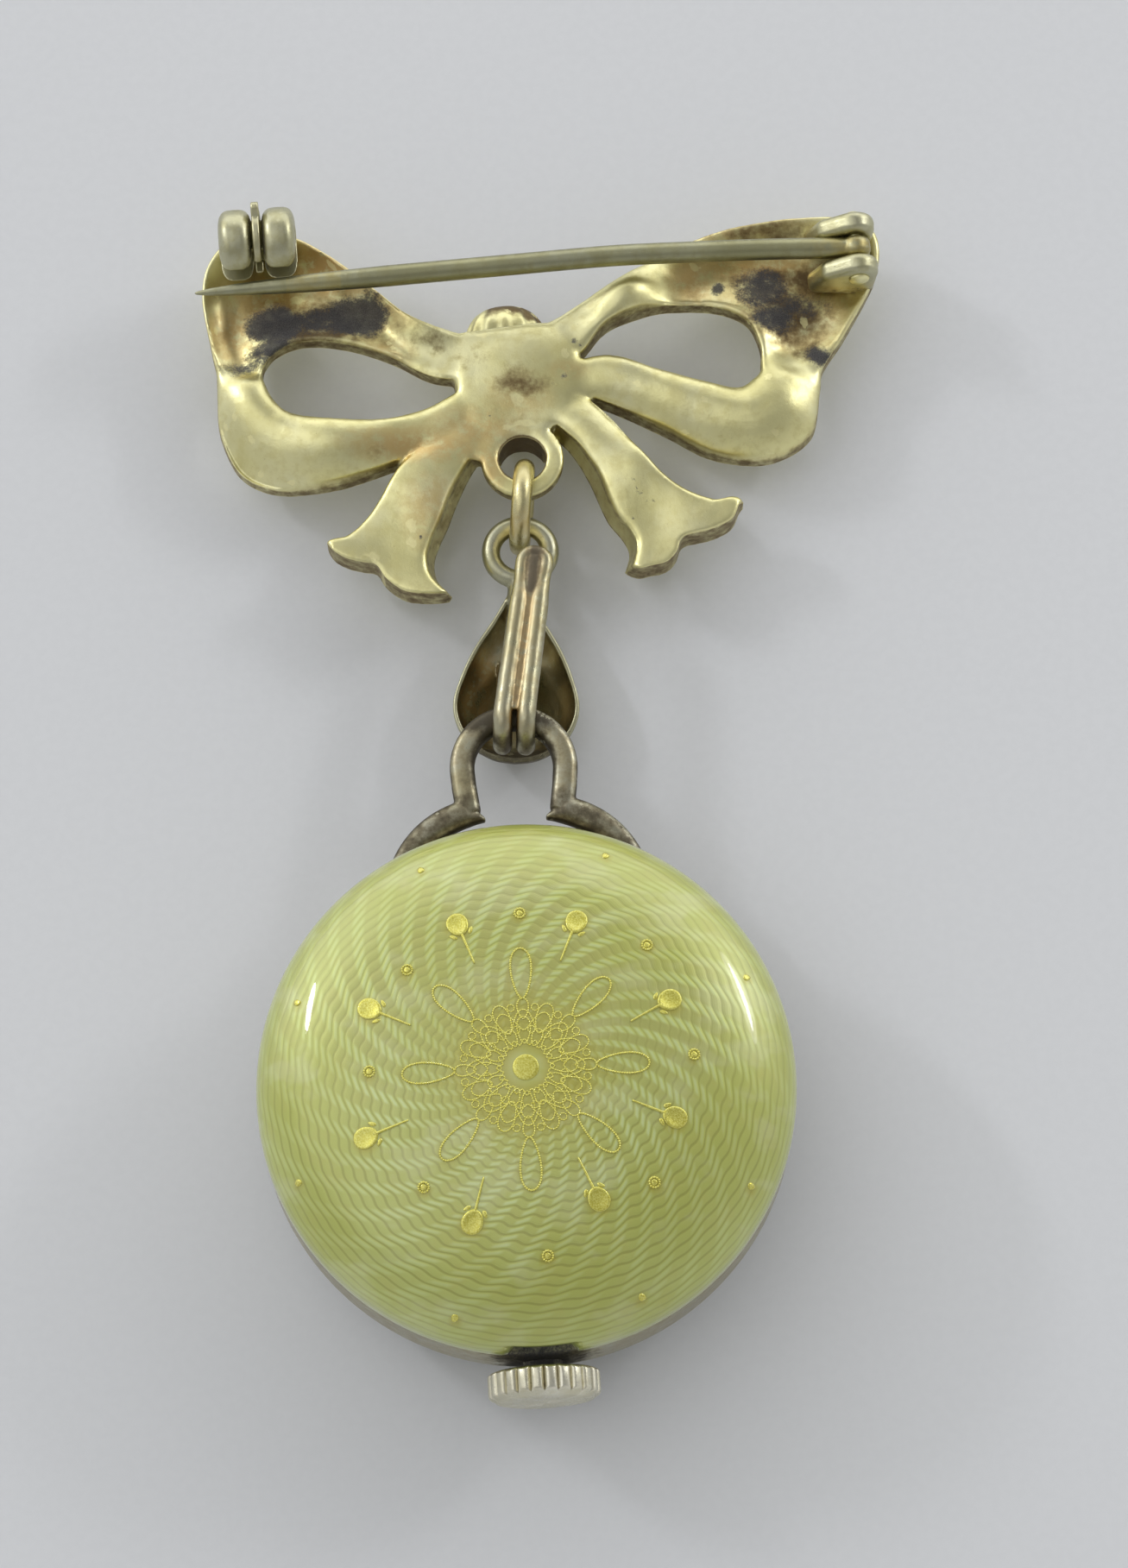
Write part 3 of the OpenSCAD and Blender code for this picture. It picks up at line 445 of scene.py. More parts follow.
def modified(solid, *modifiers):
    """A solid after modifiers, each a kind and its settings."""
    obj = linked("work", as_mesh("work", *solid))
    for kind, settings in modifiers:
        modifier = obj.modifiers.new(kind.lower(), kind)
        for key, value in settings.items():
            setattr(modifier, key, value)
    out = evaluated(obj)
    dropped(obj)
    return out


def cut(solid, tool):
    """One closed mesh cut by another."""
    knife = linked("work", as_mesh("work", *tool))
    out = modified(solid, ("BOOLEAN", dict(operation="DIFFERENCE", solver="EXACT", object=knife)))
    dropped(knife)
    return out


def fused(parts, voxel, smooth):
    """Overlapping closed meshes as one cast skin, with edges softened."""
    return modified(joined(parts), ("REMESH", dict(mode="VOXEL", voxel_size=voxel, adaptivity=0.0)),
                    ("SMOOTH", dict(factor=0.5, iterations=smooth)))


def fewer(solid):
    """The same skin with no more than MOST_TRIANGLES."""
    triangles = 2 * len(solid[1])
    if triangles <= MOST_TRIANGLES:
        return solid
    return modified(solid, ("DECIMATE", dict(ratio=MOST_TRIANGLES / triangles)))


def eased(solid, weights, times):
    """Dips and steps of a skin flowed out where the weights say so."""
    obj = linked("work", as_mesh("work", *solid))
    group = obj.vertex_groups.new(name="flow")
    for level in range(1, 11):
        chosen = np.nonzero(np.round(weights * 10).astype(int) == level)[0]
        group.add([int(i) for i in chosen], level / 10, "REPLACE")
    s = obj.modifiers.new("flow", "SMOOTH")
    s.factor = 0.5
    s.iterations = times
    s.vertex_group = "flow"
    out = evaluated(obj)
    dropped(obj)
    return out


def normals_of(mesh):
    n = np.empty(len(mesh.vertices) * 3, np.float32)
    mesh.vertices.foreach_get("normal", n)
    return n.reshape(-1, 3)


def skin_normals(points, faces):
    """The normal at each point of a skin that isn't an object yet."""
    mesh = as_mesh("work", points, faces)
    n = normals_of(mesh)
    bpy.data.meshes.remove(mesh)
    return n


def uneven(obj, points, amount):
    """The skin moved along its normals by an amount at each point."""
    moved = points + normals_of(obj.data) * amount[:, None]
    obj.data.vertices.foreach_set("co", (moved * MM).ravel())
    obj.data.update()


def ramp(value, low, high):
    """0 below low, 1 above high, smooth between. low may be over high."""
    s = np.clip((value - low) / (high - low), 0, 1)
    return s * s * (3 - 2 * s)


def share(value, none, reach):
    """0 at none and 1 at a distance of reach from it, in a straight line between."""
    return np.clip((value - none) / reach, 0, 1)


def attribute(obj, name, values):
    """A number for each vertex, which the material reads by name."""
    layer = obj.data.attributes.new(name, "FLOAT", "POINT")
    layer.data.foreach_set("value", np.array(np.broadcast_to(values, len(layer.data)), np.float32))


def wear(obj, dark, stain, soot_and_shade):
    """How dark, stained and blackened old metal is, from 0 to 1. Some pieces put painted shade into these numbers
    as well.
    """
    for name, values in (("dark", dark), ("stain", stain), ("soot_and_shade", soot_and_shade)):
        attribute(obj, name, np.clip(values, 0, 1))


def most(*values):
    """The highest of several values at each point."""
    return np.max(values, axis=0)


def blobs(points, spots):
    """Soft spots at given places: each has x, y, radius along x, radius along y, and strength."""
    total = np.zeros(len(points))
    for x, y, rx, ry, strength in spots:
        d = np.sqrt(((points[:, 0] - x) / rx) ** 2 + ((points[:, 1] - y) / ry) ** 2)
        total = np.maximum(total, strength * np.clip(1.35 - d, 0, 1) ** 0.8)
    return np.clip(total, 0, 1)


def noise_at(points, scale, seed=0.0):
    """Smooth noise from -1 to 1 at points in millimetres."""
    return np.array([noise.noise(Vector((p[0] * scale + seed, p[1] * scale, p[2] * scale))) for p in points])


# ---------------------------------------------------------------- materials

class Nodes:
    """A node tree, built from top to bottom."""

    def __init__(self, tree):
        self.tree = tree

    def add(self, kind, inputs=None, **settings):
        node = self.tree.nodes.new(kind)
        for key, value in settings.items():
            setattr(node, key, value)
        for key, value in (inputs or {}).items():
            socket = node.inputs[key]
            if isinstance(value, bpy.types.NodeSocket):
                self.tree.links.new(value, socket)
            else:
                socket.default_value = (*value, 1.0) if socket.type == "RGBA" else value
        return node

    def math(self, operation, a, b=0.0, c=0.0, clamp=False):
        return self.add("ShaderNodeMath", {0: a, 1: b, 2: c}, operation=operation, use_clamp=clamp).outputs[0]

    def times(self, a, b, clamp=False):
        return self.math("MULTIPLY", a, b, clamp=clamp)

    def times_plus(self, a, b, c, clamp=False):
        return self.math("MULTIPLY_ADD", a, b, c, clamp=clamp)

    def vector(self, operation, a, b, slot=1):
        return self.add("ShaderNodeVectorMath", {0: a, slot: b}, operation=operation)

    def band(self, value, low, high, to_low=0.0, to_high=1.0):
        """A smooth step from to_low to to_high as the value goes from low to high."""
        return self.add("ShaderNodeMapRange", {"Value": value, "From Min": low, "From Max": high,
                                               "To Min": to_low, "To Max": to_high},
                        interpolation_type="SMOOTHSTEP").outputs[0]


class Shader(Nodes):
    """A material."""

    def __init__(self, name):
        self.material = bpy.data.materials.new(name)
        self.material.use_nodes = True
        super().__init__(self.material.node_tree)
        self.tree.nodes.clear()
        self.output = self.add("ShaderNodeOutputMaterial")
        # The place on the piece, in millimetres
        coords = self.add("ShaderNodeTexCoord").outputs["Object"]
        self.place = self.vector("SCALE", coords, 1 / MM, slot=3).outputs[0]

    def noise(self, scale, detail=3.0, rough=0.55, stretch=None):
        at = self.place if stretch is None else self.vector("MULTIPLY", self.place, stretch).outputs[0]
        return self.add("ShaderNodeTexNoise", {"Vector": at, "Scale": scale, "Detail": detail,
                                               "Roughness": rough}).outputs[0]

    def mix(self, factor, a, b):
        return self.add("ShaderNodeMix", {0: factor, 6: a, 7: b}, data_type="RGBA").outputs[2]

    def tinted(self, value, low, high, a, b):
        """From colour a to colour b as the value goes from low to high."""
        return self.mix(self.band(value, low, high), a, b)

    def attribute(self, name):
        return self.add("ShaderNodeAttribute", attribute_name=name).outputs["Fac"]

    def outwards(self, low, high, to_low=0.0, to_high=1.0):
        """A step by how much the surface points outwards: ridges are over 0.5, and hollows under it."""
        pointed = self.add("ShaderNodeNewGeometry").outputs["Pointiness"]
        return self.band(pointed, low, high, to_low, to_high)

    def bump(self, height, strength, distance, normal=None):
        inputs = {"Height": height, "Strength": strength, "Distance": distance * MM}
        if normal is not None:
            inputs["Normal"] = normal
        return self.add("ShaderNodeBump", inputs).outputs[0]

    def done(self, **inputs):
        """The material, with the inputs of its surface."""
        named = {k.replace("_", " "): v for k, v in inputs.items()}
        surface = self.add("ShaderNodeBsdfPrincipled", named)
        self.tree.links.new(surface.outputs[0], self.output.inputs["Surface"])
        return self.material


# Old metals: clean colour, tarnish, warm stain, share of tarnish, roughness
METALS = {
    "gilt": ((0.86, 0.81, 0.41), (0.14, 0.092, 0.045), (0.64, 0.42, 0.16), 0.35, 0.27),
    "bright_gilt": ((0.72, 0.665, 0.37), (0.22, 0.16, 0.07), (0.62, 0.42, 0.14), 0.18, 0.22),
    "old_silver": ((0.47, 0.455, 0.315), (0.078, 0.066, 0.048), (0.42, 0.30, 0.13), 0.50, 0.25),
    "pin_metal": ((0.39, 0.38, 0.225), (0.13, 0.10, 0.05), (0.52, 0.40, 0.12), 0.35, 0.32),
    "catch_metal": ((0.54, 0.52, 0.315), (0.12, 0.09, 0.045), (0.56, 0.42, 0.13), 0.4, 0.27),
    "hook_silver": ((0.47, 0.455, 0.29), (0.135, 0.115, 0.083), (0.46, 0.34, 0.17), 0.46, 0.24),
    "crown_silver": ((0.80, 0.77, 0.60), (0.17, 0.14, 0.09), (0.6, 0.5, 0.3), 0.4, 0.22),
    "movement_brass": ((0.78, 0.62, 0.30), (0.3, 0.2, 0.08), (0.6, 0.4, 0.15), 0.2, 0.35),
    "steel": ((0.62, 0.61, 0.58), (0.2, 0.18, 0.15), (0.4, 0.3, 0.2), 0.3, 0.3)}


def worn_metal(name):
    """Old metal. Its pieces may carry the attributes dark, stain and soot."""
    metal, deep, warm, tarnish, rough = METALS[name]
    s = Shader(name)
    broad = s.noise(0.35, 3.0, 0.5)
    patchy = s.noise(1.6, 5.0, 0.62)
    grain = s.noise(9.0, 4.0, 0.6)
    fine = s.noise(38.0, 2.0, 0.5)
    dark, stain, soot_and_shade = s.attribute("dark"), s.attribute("stain"), s.attribute("soot_and_shade")

    def drifted(*by):
        return tuple(c * f for c, f in zip(metal, by))

    # Clean metal drifts a little between greener and redder gilding
    tint = s.tinted(broad, 0.35, 0.65, metal, drifted(0.97, 0.985, 1.12))
    tint = s.mix(s.times(s.band(patchy, 0.42, 0.68), 0.55), tint, drifted(0.78, 0.75, 0.66))
    cloud = s.noise(0.22, 3.0, 0.55)
    tint = s.mix(s.times(s.band(cloud, 0.44, 0.64), 0.6), tint, drifted(0.74, 0.73, 0.66))

    # Warm orange-brown film, broken up by the patchy noise
    tint = s.mix(s.times(stain, s.band(patchy, 0.26, 0.56), clamp=True), tint, warm)

    # Dark tarnish and painted shade where the piece says so, and tarnish in its hollows and in scattered specks
    specks = s.times(s.band(grain, 0.66, 0.74), 0.8 * tarnish)
    hollow = s.times(s.outwards(0.40, 0.485, 1.0, 0.0), tarnish)
    ragged = s.math("ADD", dark, s.times_plus(patchy, 0.72, -0.38))
    cover = s.times(s.band(ragged, 0.30, 0.78), s.band(dark, 0.02, 0.2))
    cover = s.math("MAXIMUM", s.math("MAXIMUM", cover, hollow), specks, clamp=True)
    tint = s.mix(s.times(cover, 0.93), tint, deep)

    # Sooting, and painted shade where the piece says so: nearly black and matt
    mottled = s.times_plus(grain, 0.70, s.times_plus(patchy, 0.6, -0.65))
    black = s.times(s.band(s.math("ADD", soot_and_shade, mottled), 0.22, 0.62), s.band(soot_and_shade, 0.02, 0.2), clamp=True)
    soot_and_shade_black = s.tinted(fine, 0.42, 0.68, (0.036, 0.037, 0.046), (0.145, 0.145, 0.14))
    tint = s.mix(s.times(black, 0.9), tint, soot_and_shade_black)

    # Ridges are rubbed bright
    rubbed = s.times(s.outwards(0.512, 0.56), s.times_plus(black, -0.55, 0.55))
    tint = s.mix(rubbed, tint, drifted(1.14, 1.13, 1.2))

    # Polishing scratches run mostly one way
    scratch = s.noise(5.0, 3.0, 0.7, stretch=(9.0, 1.2, 2.0))
    roughness = s.times_plus(patchy, 0.22, rough - 0.09)
    roughness = s.times_plus(scratch, 0.10, roughness)
    roughness = s.times_plus(cover, 0.20, roughness)
    roughness = s.times_plus(black, 0.34, roughness, clamp=True)
    metallic = s.times_plus(black, -0.75, 1.0, clamp=True)

    height = s.times_plus(scratch, 0.25, s.times_plus(grain, 0.5, patchy))
    height = s.times_plus(s.band(fine, 0.5, 0.8), 0.12, height)
    normal = s.bump(height, 0.35, 0.035)
    pits = s.times(s.band(grain, 0.69, 0.75), -1.0)
    normal = s.bump(pits, 0.5, 0.05, normal)
    return s.done(Base_Color=tint, Metallic=metallic, Roughness=roughness, Normal=normal)


def enamel():
    """Clear yellow-green enamel over engine turning: waved rings, each turned a little from the last."""
    s = Shader("enamel")
    local = s.vector("SUBTRACT", s.place, (WATCH[0], WATCH[1], 0.0)).outputs[0]
    x, y = s.add("ShaderNodeSeparateXYZ", {0: local}).outputs[:2]
    angle = s.math("ARCTAN2", y, x)
    arc, gold = s.attribute("arc"), s.attribute("gold")
    lobes, pitch, twist = 36.0, 0.41, 0.098

    broad = s.noise(0.16, 2.0, 0.5)
    cloudy = s.noise(0.9, 4.0, 0.55)
    milky = s.noise(0.33, 3.0, 0.5, stretch=(1.0, 1.6, 1.0))
    tremor = s.times_plus(s.noise(0.8, 2.0, 0.5), 0.5, -0.25)

    # Rings of waves. The phase turns with the ring, so that crests line up in curling rays
    phase = s.times(s.times_plus(arc, twist, angle), lobes)
    swing = s.math("SINE", s.math("ADD", phase, tremor))
    amplitude = s.times(s.band(arc, 0.8, 7.5, 0.08, 0.21), s.band(arc, 8.5, 13.0, 1.0, 0.38))
    ring = s.times_plus(swing, amplitude, s.math("DIVIDE", arc, pitch))
    groove = s.math("SINE", s.times(ring, 2 * math.pi))
    line = s.band(groove, 0.45, 1.0)
    land = s.band(groove, 0.35, -0.75)
    fade = s.times(s.band(arc, 0.8, 2.4), s.band(arc, 11.0, 15.8, 1.0, 0.35))

    # Rings show best in the lower half and the rays in the upper one, where painted glints lie on the rays' lands
    # and painted shade between the rays
    below = s.band(y, 4.0, -5.0)
    ray_here = s.times(s.band(broad, 0.38, 0.6, 0.55, 1.0), s.band(arc, 11.5, 7.5, 0.45, 1.0))
    ray = s.band(s.math("COSINE", phase), -0.35, 0.75)

    ground = s.tinted(broad, 0.36, 0.64, (0.475, 0.515, 0.108), (0.525, 0.58, 0.155))
    ground = s.mix(s.times(s.band(cloudy, 0.45, 0.72), 0.3), ground, (0.52, 0.49, 0.12))
    cut_in = s.times(s.times(line, fade), s.band(below, 0.0, 1.0, 0.26, 0.60))
    colour = s.mix(cut_in, ground, (0.30, 0.30, 0.05))
    # Painted glints on the lands of the rays
    lit = s.times(s.times(ray, land), s.times(fade, ray_here))
    colour = s.mix(s.times(lit, s.band(below, 0.0, 1.0, 0.50, 0.62)), colour, (0.66, 0.76, 0.38))
    # Painted shade between the rays
    shade = s.times(s.math("SUBTRACT", 1.0, ray), s.times(fade, ray_here))
    colour = s.mix(s.times(shade, s.band(below, 0.0, 1.0, 0.50, 0.16)), colour, (0.37, 0.345, 0.10))

    # Deeper and yellower in the middle, round the gold with a painted shadow just below each bud and dot, and
    # greener at the rim
    colour = s.mix(s.band(arc, 6.0, 1.5, 0.0, 0.42), colour, (0.50, 0.46, 0.09))
    colour = s.mix(s.times(s.band(arc, 12.6, 16.4), 0.5), colour, (0.46, 0.57, 0.14))
    colour = s.mix(s.times(s.band(milky, 0.50, 0.68), 0.20), colour, (0.74, 0.76, 0.50))
    colour = s.mix(s.times(gold, 0.72), colour, (0.42, 0.36, 0.02))

    relief = s.times(s.math("SUBTRACT", s.times(land, 0.6), line), fade)
    return s.done(Base_Color=colour, Metallic=0.28, Roughness=s.times_plus(cloudy, 0.12, 0.34),
                  Normal=s.bump(relief, 0.30, 0.03), Coat_Weight=1.0, Coat_Roughness=0.045, Coat_IOR=1.55)


def foil():
    """Gold foil sealed in the enamel, so its gold is greenish and its gloss is the enamel's."""
    s = Shader("foil")
    speck = s.noise(14.0, 4.0, 0.6)
    colour = s.tinted(speck, 0.35, 0.7, (0.62, 0.56, 0.06), (0.86, 0.84, 0.22))
    # Painted shade in the foil's hollows
    colour = s.mix(s.times(s.outwards(0.42, 0.49, 1.0, 0.0), 0.5), colour, (0.30, 0.25, 0.04))
    return s.done(Base_Color=colour, Metallic=0.7, Roughness=s.band(speck, 0.3, 0.7, 0.28, 0.44),
                  Normal=s.bump(speck, 0.4, 0.03), Coat_Weight=1.0, Coat_Roughness=0.05, Coat_IOR=1.5)


def glass():
    """The crystal, lightly scuffed."""
    s = Shader("crystal_glass")
    scuffs = s.noise(2.2, 5.0, 0.7, stretch=(6.0, 1.0, 1.0))
    return s.done(Base_Color=(0.97, 0.985, 0.98), Roughness=s.band(scuffs, 0.55, 0.8, 0.02, 0.12),
                  Normal=s.bump(scuffs, 0.05, 0.02), Transmission_Weight=1.0, IOR=1.46)


def dial_white():
    """The dial's white enamel, a little yellowed."""
    s = Shader("dial_white")
    cloud = s.noise(0.5, 4.0, 0.6)
    return s.done(Base_Color=s.tinted(cloud, 0.4, 0.7, (0.80, 0.78, 0.70), (0.74, 0.70, 0.58)),
                  Roughness=s.band(cloud, 0.3, 0.7, 0.28, 0.36), Normal=s.bump(s.noise(6.0), 0.1, 0.02))


def dial_ink():
    """The worn black of the printed marks."""
    s = Shader("dial_ink")
    worn = s.noise(5.0, 3.0, 0.6)
    return s.done(Base_Color=s.tinted(worn, 0.4, 0.7, (0.018, 0.016, 0.02), (0.05, 0.045, 0.05)),
                  Roughness=s.band(worn, 0.3, 0.7, 0.35, 0.5))


def blued_steel():
    """The hands."""
    s = Shader("blued_steel")
    sheen = s.noise(1.2, 3.0, 0.5)
    return s.done(Base_Color=s.tinted(sheen, 0.35, 0.65, (0.035, 0.045, 0.12), (0.07, 0.06, 0.16)),
                  Metallic=1.0, Roughness=s.band(sheen, 0.3, 0.7, 0.2, 0.3))


def paper_floor():
    """Pale grey paper with a faint grain."""
    s = Shader("paper_floor")
    grain = s.noise(2.0, 4.0, 0.6)
    slow = s.noise(0.012, 2.0, 0.5)
    colour = s.tinted(grain, 0.35, 0.65, (0.735, 0.745, 0.755), (0.75, 0.76, 0.77))
    colour = s.mix(s.times(s.band(slow, 0.3, 0.7), 0.25), colour, (0.72, 0.735, 0.75))
    return s.done(Base_Color=colour, Roughness=0.75, Normal=s.bump(grain, 0.08, 0.05))


# ---------------------------------------------------------------- the bow

# Each row is a section: out_x, out_y, in_x, in_y, out_z, in_z, camber, thick
LEFT_LOOP = [
    [-0.045, 0.338, -0.040, 0.222, 0.90, 0.90, 0.00, 1.0],
    [-0.090, 0.351, -0.072, 0.220, 0.97, 0.97, 0.02, 1.0],
    [-0.153, 0.404, -0.125, 0.237, 1.00, 0.98, -0.06, 1.0],
    [-0.229, 0.532, -0.178, 0.293, 0.97, 0.96, -0.20, 1.0],
    [-0.306, 0.634, -0.246, 0.341, 0.93, 0.95, -0.24, 1.0],
    [-0.382, 0.664, -0.306, 0.355, 0.90, 0.95, -0.25, 1.0],
    [-0.433, 0.605, -0.346, 0.334, 0.90, 0.95, -0.25, 1.0],
    [-0.452, 0.502, -0.365, 0.296, 0.91, 0.95, -0.24, 0.9],
    [-0.442, 0.345, -0.369, 0.277, 0.92, 0.94, -0.20, 0.9],
    [-0.437, 0.290, -0.369, 0.265, 0.84, 0.93, -0.02, 1.0],
    [-0.438, 0.230, -0.366, 0.249, 0.80, 0.93, 0.13, 1.0],
    [-0.436, 0.130, -0.358, 0.214, 0.72, 0.93, 0.20, 0.9],
    [-0.410, 0.028, -0.340, 0.175, 0.68, 0.94, 0.21, 0.8],
    [-0.354, -0.022, -0.314, 0.153, 0.70, 0.95, 0.18, 0.8],
    [-0.278, -0.024, -0.258, 0.134, 0.78, 0.97, 0.13, 0.8],
    [-0.210, 0.000, -0.193, 0.130, 0.86, 0.98, 0.08, 0.9],
    [-0.144, 0.039, -0.133, 0.151, 0.93, 0.98, 0.04, 1.0],
    [-0.088, 0.094, -0.078, 0.194, 0.96, 0.97, 0.03, 1.0],
    [-0.045, 0.120, -0.042, 0.195, 0.90, 0.90, 0.00, 1.0]]
RIGHT_LOOP = [
    [0.020, 0.343, 0.040, 0.242, 0.90, 0.90, 0.00, 1.0],
    [0.066, 0.368, 0.092, 0.262, 0.97, 0.97, 0.02, 1.0],
    [0.142, 0.444, 0.136, 0.334, 0.94, 1.00, 0.09, 1.0],
    [0.222, 0.518, 0.201, 0.375, 0.90, 0.98, 0.08, 1.0],
    [0.306, 0.571, 0.249, 0.380, 0.93, 0.97, -0.08, 1.0],
    [0.402, 0.595, 0.297, 0.372, 0.95, 0.96, -0.22, 1.0],
    [0.493, 0.590, 0.331, 0.347, 0.95, 0.96, -0.25, 1.0],
    [0.543, 0.545, 0.348, 0.318, 0.95, 0.96, -0.25, 1.0],
    [0.541, 0.437, 0.357, 0.275, 0.93, 0.96, -0.25, 1.0],
    [0.490, 0.290, 0.360, 0.243, 0.90, 0.95, -0.20, 1.0],
    [0.450, 0.197, 0.358, 0.215, 0.83, 0.94, -0.02, 1.0],
    [0.442, 0.136, 0.356, 0.190, 0.80, 0.94, 0.10, 1.0],
    [0.424, 0.030, 0.344, 0.172, 0.72, 0.94, 0.20, 0.9],
    [0.360, -0.028, 0.320, 0.152, 0.70, 0.95, 0.22, 0.8],
    [0.280, -0.008, 0.275, 0.174, 0.74, 0.97, 0.18, 0.9],
    [0.207, 0.066, 0.210, 0.212, 0.80, 0.98, 0.13, 1.0],
    [0.142, 0.129, 0.147, 0.255, 0.88, 1.00, 0.08, 1.1],
    [0.086, 0.160, 0.098, 0.252, 0.94, 0.97, 0.03, 1.0],
    [0.045, 0.150, 0.050, 0.225, 0.90, 0.90, 0.00, 1.0]]
LEFT_TAIL = [
    [-0.060, 0.200, -0.010, 0.165, 0.88, 0.88, 0.00, 0.9],
    [-0.090, 0.135, -0.034, 0.100, 0.92, 0.95, 0.02, 0.9],
    [-0.142, 0.060, -0.054, 0.055, 0.94, 0.96, 0.04, 0.9],
    [-0.184, -0.005, -0.078, 0.000, 0.97, 0.97, 0.04, 0.9],
    [-0.214, -0.086, -0.104, -0.072, 0.96, 0.96, 0.03, 1.0],
    [-0.236, -0.133, -0.122, -0.140, 0.96, 0.96, 0.02, 1.0],
    [-0.263, -0.167, -0.138, -0.193, 0.96, 0.96, 0.02, 1.0],
    [-0.292, -0.180, -0.146, -0.240, 0.97, 0.97, 0.01, 1.0],
    [-0.300, -0.245, -0.140, -0.290, 0.98, 0.98, 0.01, 1.0],
    [-0.290, -0.370, -0.110, -0.350, 0.98, 0.98, 0.01, 1.0]]
RIGHT_TAIL = [
    [0.060, 0.215, 0.010, 0.180, 0.88, 0.88, 0.00, 0.9],
    [0.100, 0.155, 0.034, 0.120, 0.95, 0.95, 0.02, 0.9],
    [0.132, 0.095, 0.056, 0.080, 0.97, 0.97, 0.06, 0.9],
    [0.152, 0.048, 0.082, 0.030, 0.98, 0.98, 0.06, 0.9],
    [0.180, -0.010, 0.106, -0.045, 0.97, 0.97, 0.04, 1.0],
    [0.206, -0.068, 0.119, -0.112, 0.97, 0.97, 0.03, 1.0],
    [0.236, -0.112, 0.130, -0.160, 0.97, 0.97, 0.02, 1.0],
    [0.275, -0.140, 0.148, -0.206, 0.97, 0.97, 0.01, 1.0],
    [0.315, -0.150, 0.154, -0.250, 0.98, 0.98, 0.01, 1.0],
    [0.325, -0.320, 0.138, -0.330, 0.98, 0.98, 0.01, 1.0]]
MIDDLE = [
    [-0.050, 0.072, 0.046, 0.076, 0.98, 0.98, 0.00, 1.0],
    [-0.082, 0.120, 0.075, 0.135, 0.99, 0.99, 0.02, 1.0],
    [-0.090, 0.200, 0.100, 0.215, 1.00, 1.00, 0.03, 1.0],
    [-0.090, 0.285, 0.086, 0.300, 1.00, 1.00, 0.03, 1.0],
    [-0.078, 0.343, 0.052, 0.356, 0.99, 0.99, 0.00, 1.0]]

# Swallow-tail cuts, from the outer tip to the inner one
LEFT_CUT = [[-0.292, -0.178], [-0.281, -0.207], [-0.262, -0.229], [-0.240, -0.241],
            [-0.221, -0.250], [-0.209, -0.286], [-0.184, -0.322], [-0.152, -0.334],
            [-0.124, -0.334], [-0.112, -0.326]]
RIGHT_CUT = [[0.309, -0.152], [0.298, -0.190], [0.281, -0.209], [0.258, -0.223],
             [0.223, -0.234], [0.212, -0.269], [0.196, -0.294], [0.168, -0.303],
             [0.156, -0.305], [0.140, -0.296]]

# Place between a ribbon's edges, and how far the rounded edge drops there in shares of thickness
RIBBON_EDGE = [(1.0, 0.24), (0.985, 0.13), (0.96, 0.065), (0.92, 0.025), (0.86, 0.006), (0.76, 0.0),
               (0.62, 0.0), (0.46, 0.0), (0.30, 0.0), (0.10, 0.0)]
RIBBON_PROFILE = [(-p, d) for p, d in RIBBON_EDGE] + [(p, d) for p, d in reversed(RIBBON_EDGE)]


def ribbon(rows, thickness, flare=0.0, steps=7):
    """A ribbon through sections, its underside wider by flare."""
    rings = []
    for row in spline(rows, steps):
        out = np.array([row[0] * BOW_W, row[1] * BOW_H, row[4] * BOW_T])
        across = np.array([row[2] * BOW_W, row[3] * BOW_H, row[5] * BOW_T]) - out
        wider = 1 + flare / np.linalg.norm(across)
        back, front = [], []
        for p, drop in RIBBON_PROFILE:
            rise = row[6] * BOW_T * (1 - p * p)
            back.append(out + across * (p + 1) / 2 + (0, 0, rise - drop * thickness))
            front.append(out + across * wider * (p + 1) / 2 + (0, 0, rise + drop * thickness - thickness * row[7]))
        rings.append(back + front[::-1])
    return loft(rings)


def tail(rows, line, flare):
    """A tail of the bow, with its end cut along a line."""
    edge = [(p[0] * BOW_W, p[1] * BOW_H) for p in spline(line, 5)]
    (x0, y0), (x1, y1) = edge[0], edge[-1]
    beyond = math.copysign(0.1 * BOW_W, x0 - x1)
    far = -0.5 * BOW_H
    outline = edge + [(x1 - beyond, y1), (x1 - beyond, far), (x0 + beyond, far), (x0 + beyond, y0)]
    return cut(ribbon(rows, TAIL_T, flare), prism(outline, -BOW_T, 2 * BOW_T))


def knot():
    """The pleated knot on the front of the bow."""
    rows, depth, length = 36, 0.8 * BOW_T, 0.38 * BOW_H
    rings = []
    for i in range(rows + 1):
        v = -0.985 + 1.97 * i / rows
        s = (1 - abs(v) ** 2.8) ** (1 / 2.8)
        ring = []
        for a in turns(168):
            lap = 1 - PLEAT_DEPTH * s / KNOT_W * (1 + math.cos(2 * KNOT_PLEATS * a)) * 1.4
            ring.append((-0.01 * BOW_W + lap * s * KNOT_W / 2 * math.cos(a), 0.255 * BOW_H + v * length / 2,
                         depth / 2 + lap * depth / 2 * s * math.sin(a)))
        rings.append(ring)
    return loft(rings)


def eye():
    """The flat ring at the foot of the bow, with softened edges."""
    r0, r1, h, e = EYE_HOLE_R, EYE_HOLE_R + EYE_RIM, (EYE_TOP - EYE_LOW) / 2, 0.16
    profile = []
    for cx, cz, start in ((r1 - e, h - e, 0), (r0 + e, h - e, 90), (r0 + e, -h + e, 180), (r1 - e, -h + e, 270)):
        for k in range(5):
            x, z = polar(e, math.radians(start + 90 * k / 4))
            profile.append((cx + x, cz + z))
    p, f = lathe(profile, segments=96, close=True)
    # The thick metal above the hole, and the shoulder towards the left tail
    arc = [math.radians(a) for a in range(22, 159, 8)]
    wall = [polar(r0, a) for a in arc] + [polar(1.75 * r0, a) for a in reversed(arc)]
    shoulder = [(-2.62, 0.20), (-2.15, 0.02), (-1.7, 0.7), (-0.6, 1.8), (-1.2, 2.7), (-2.2, 1.6)]
    return joined([(p + (0, 0, (EYE_TOP + EYE_LOW) / 2), f), prism(wall, 1.5, EYE_TOP - 0.05),
                   prism(shoulder, 2.7, EYE_TOP - 0.02)])


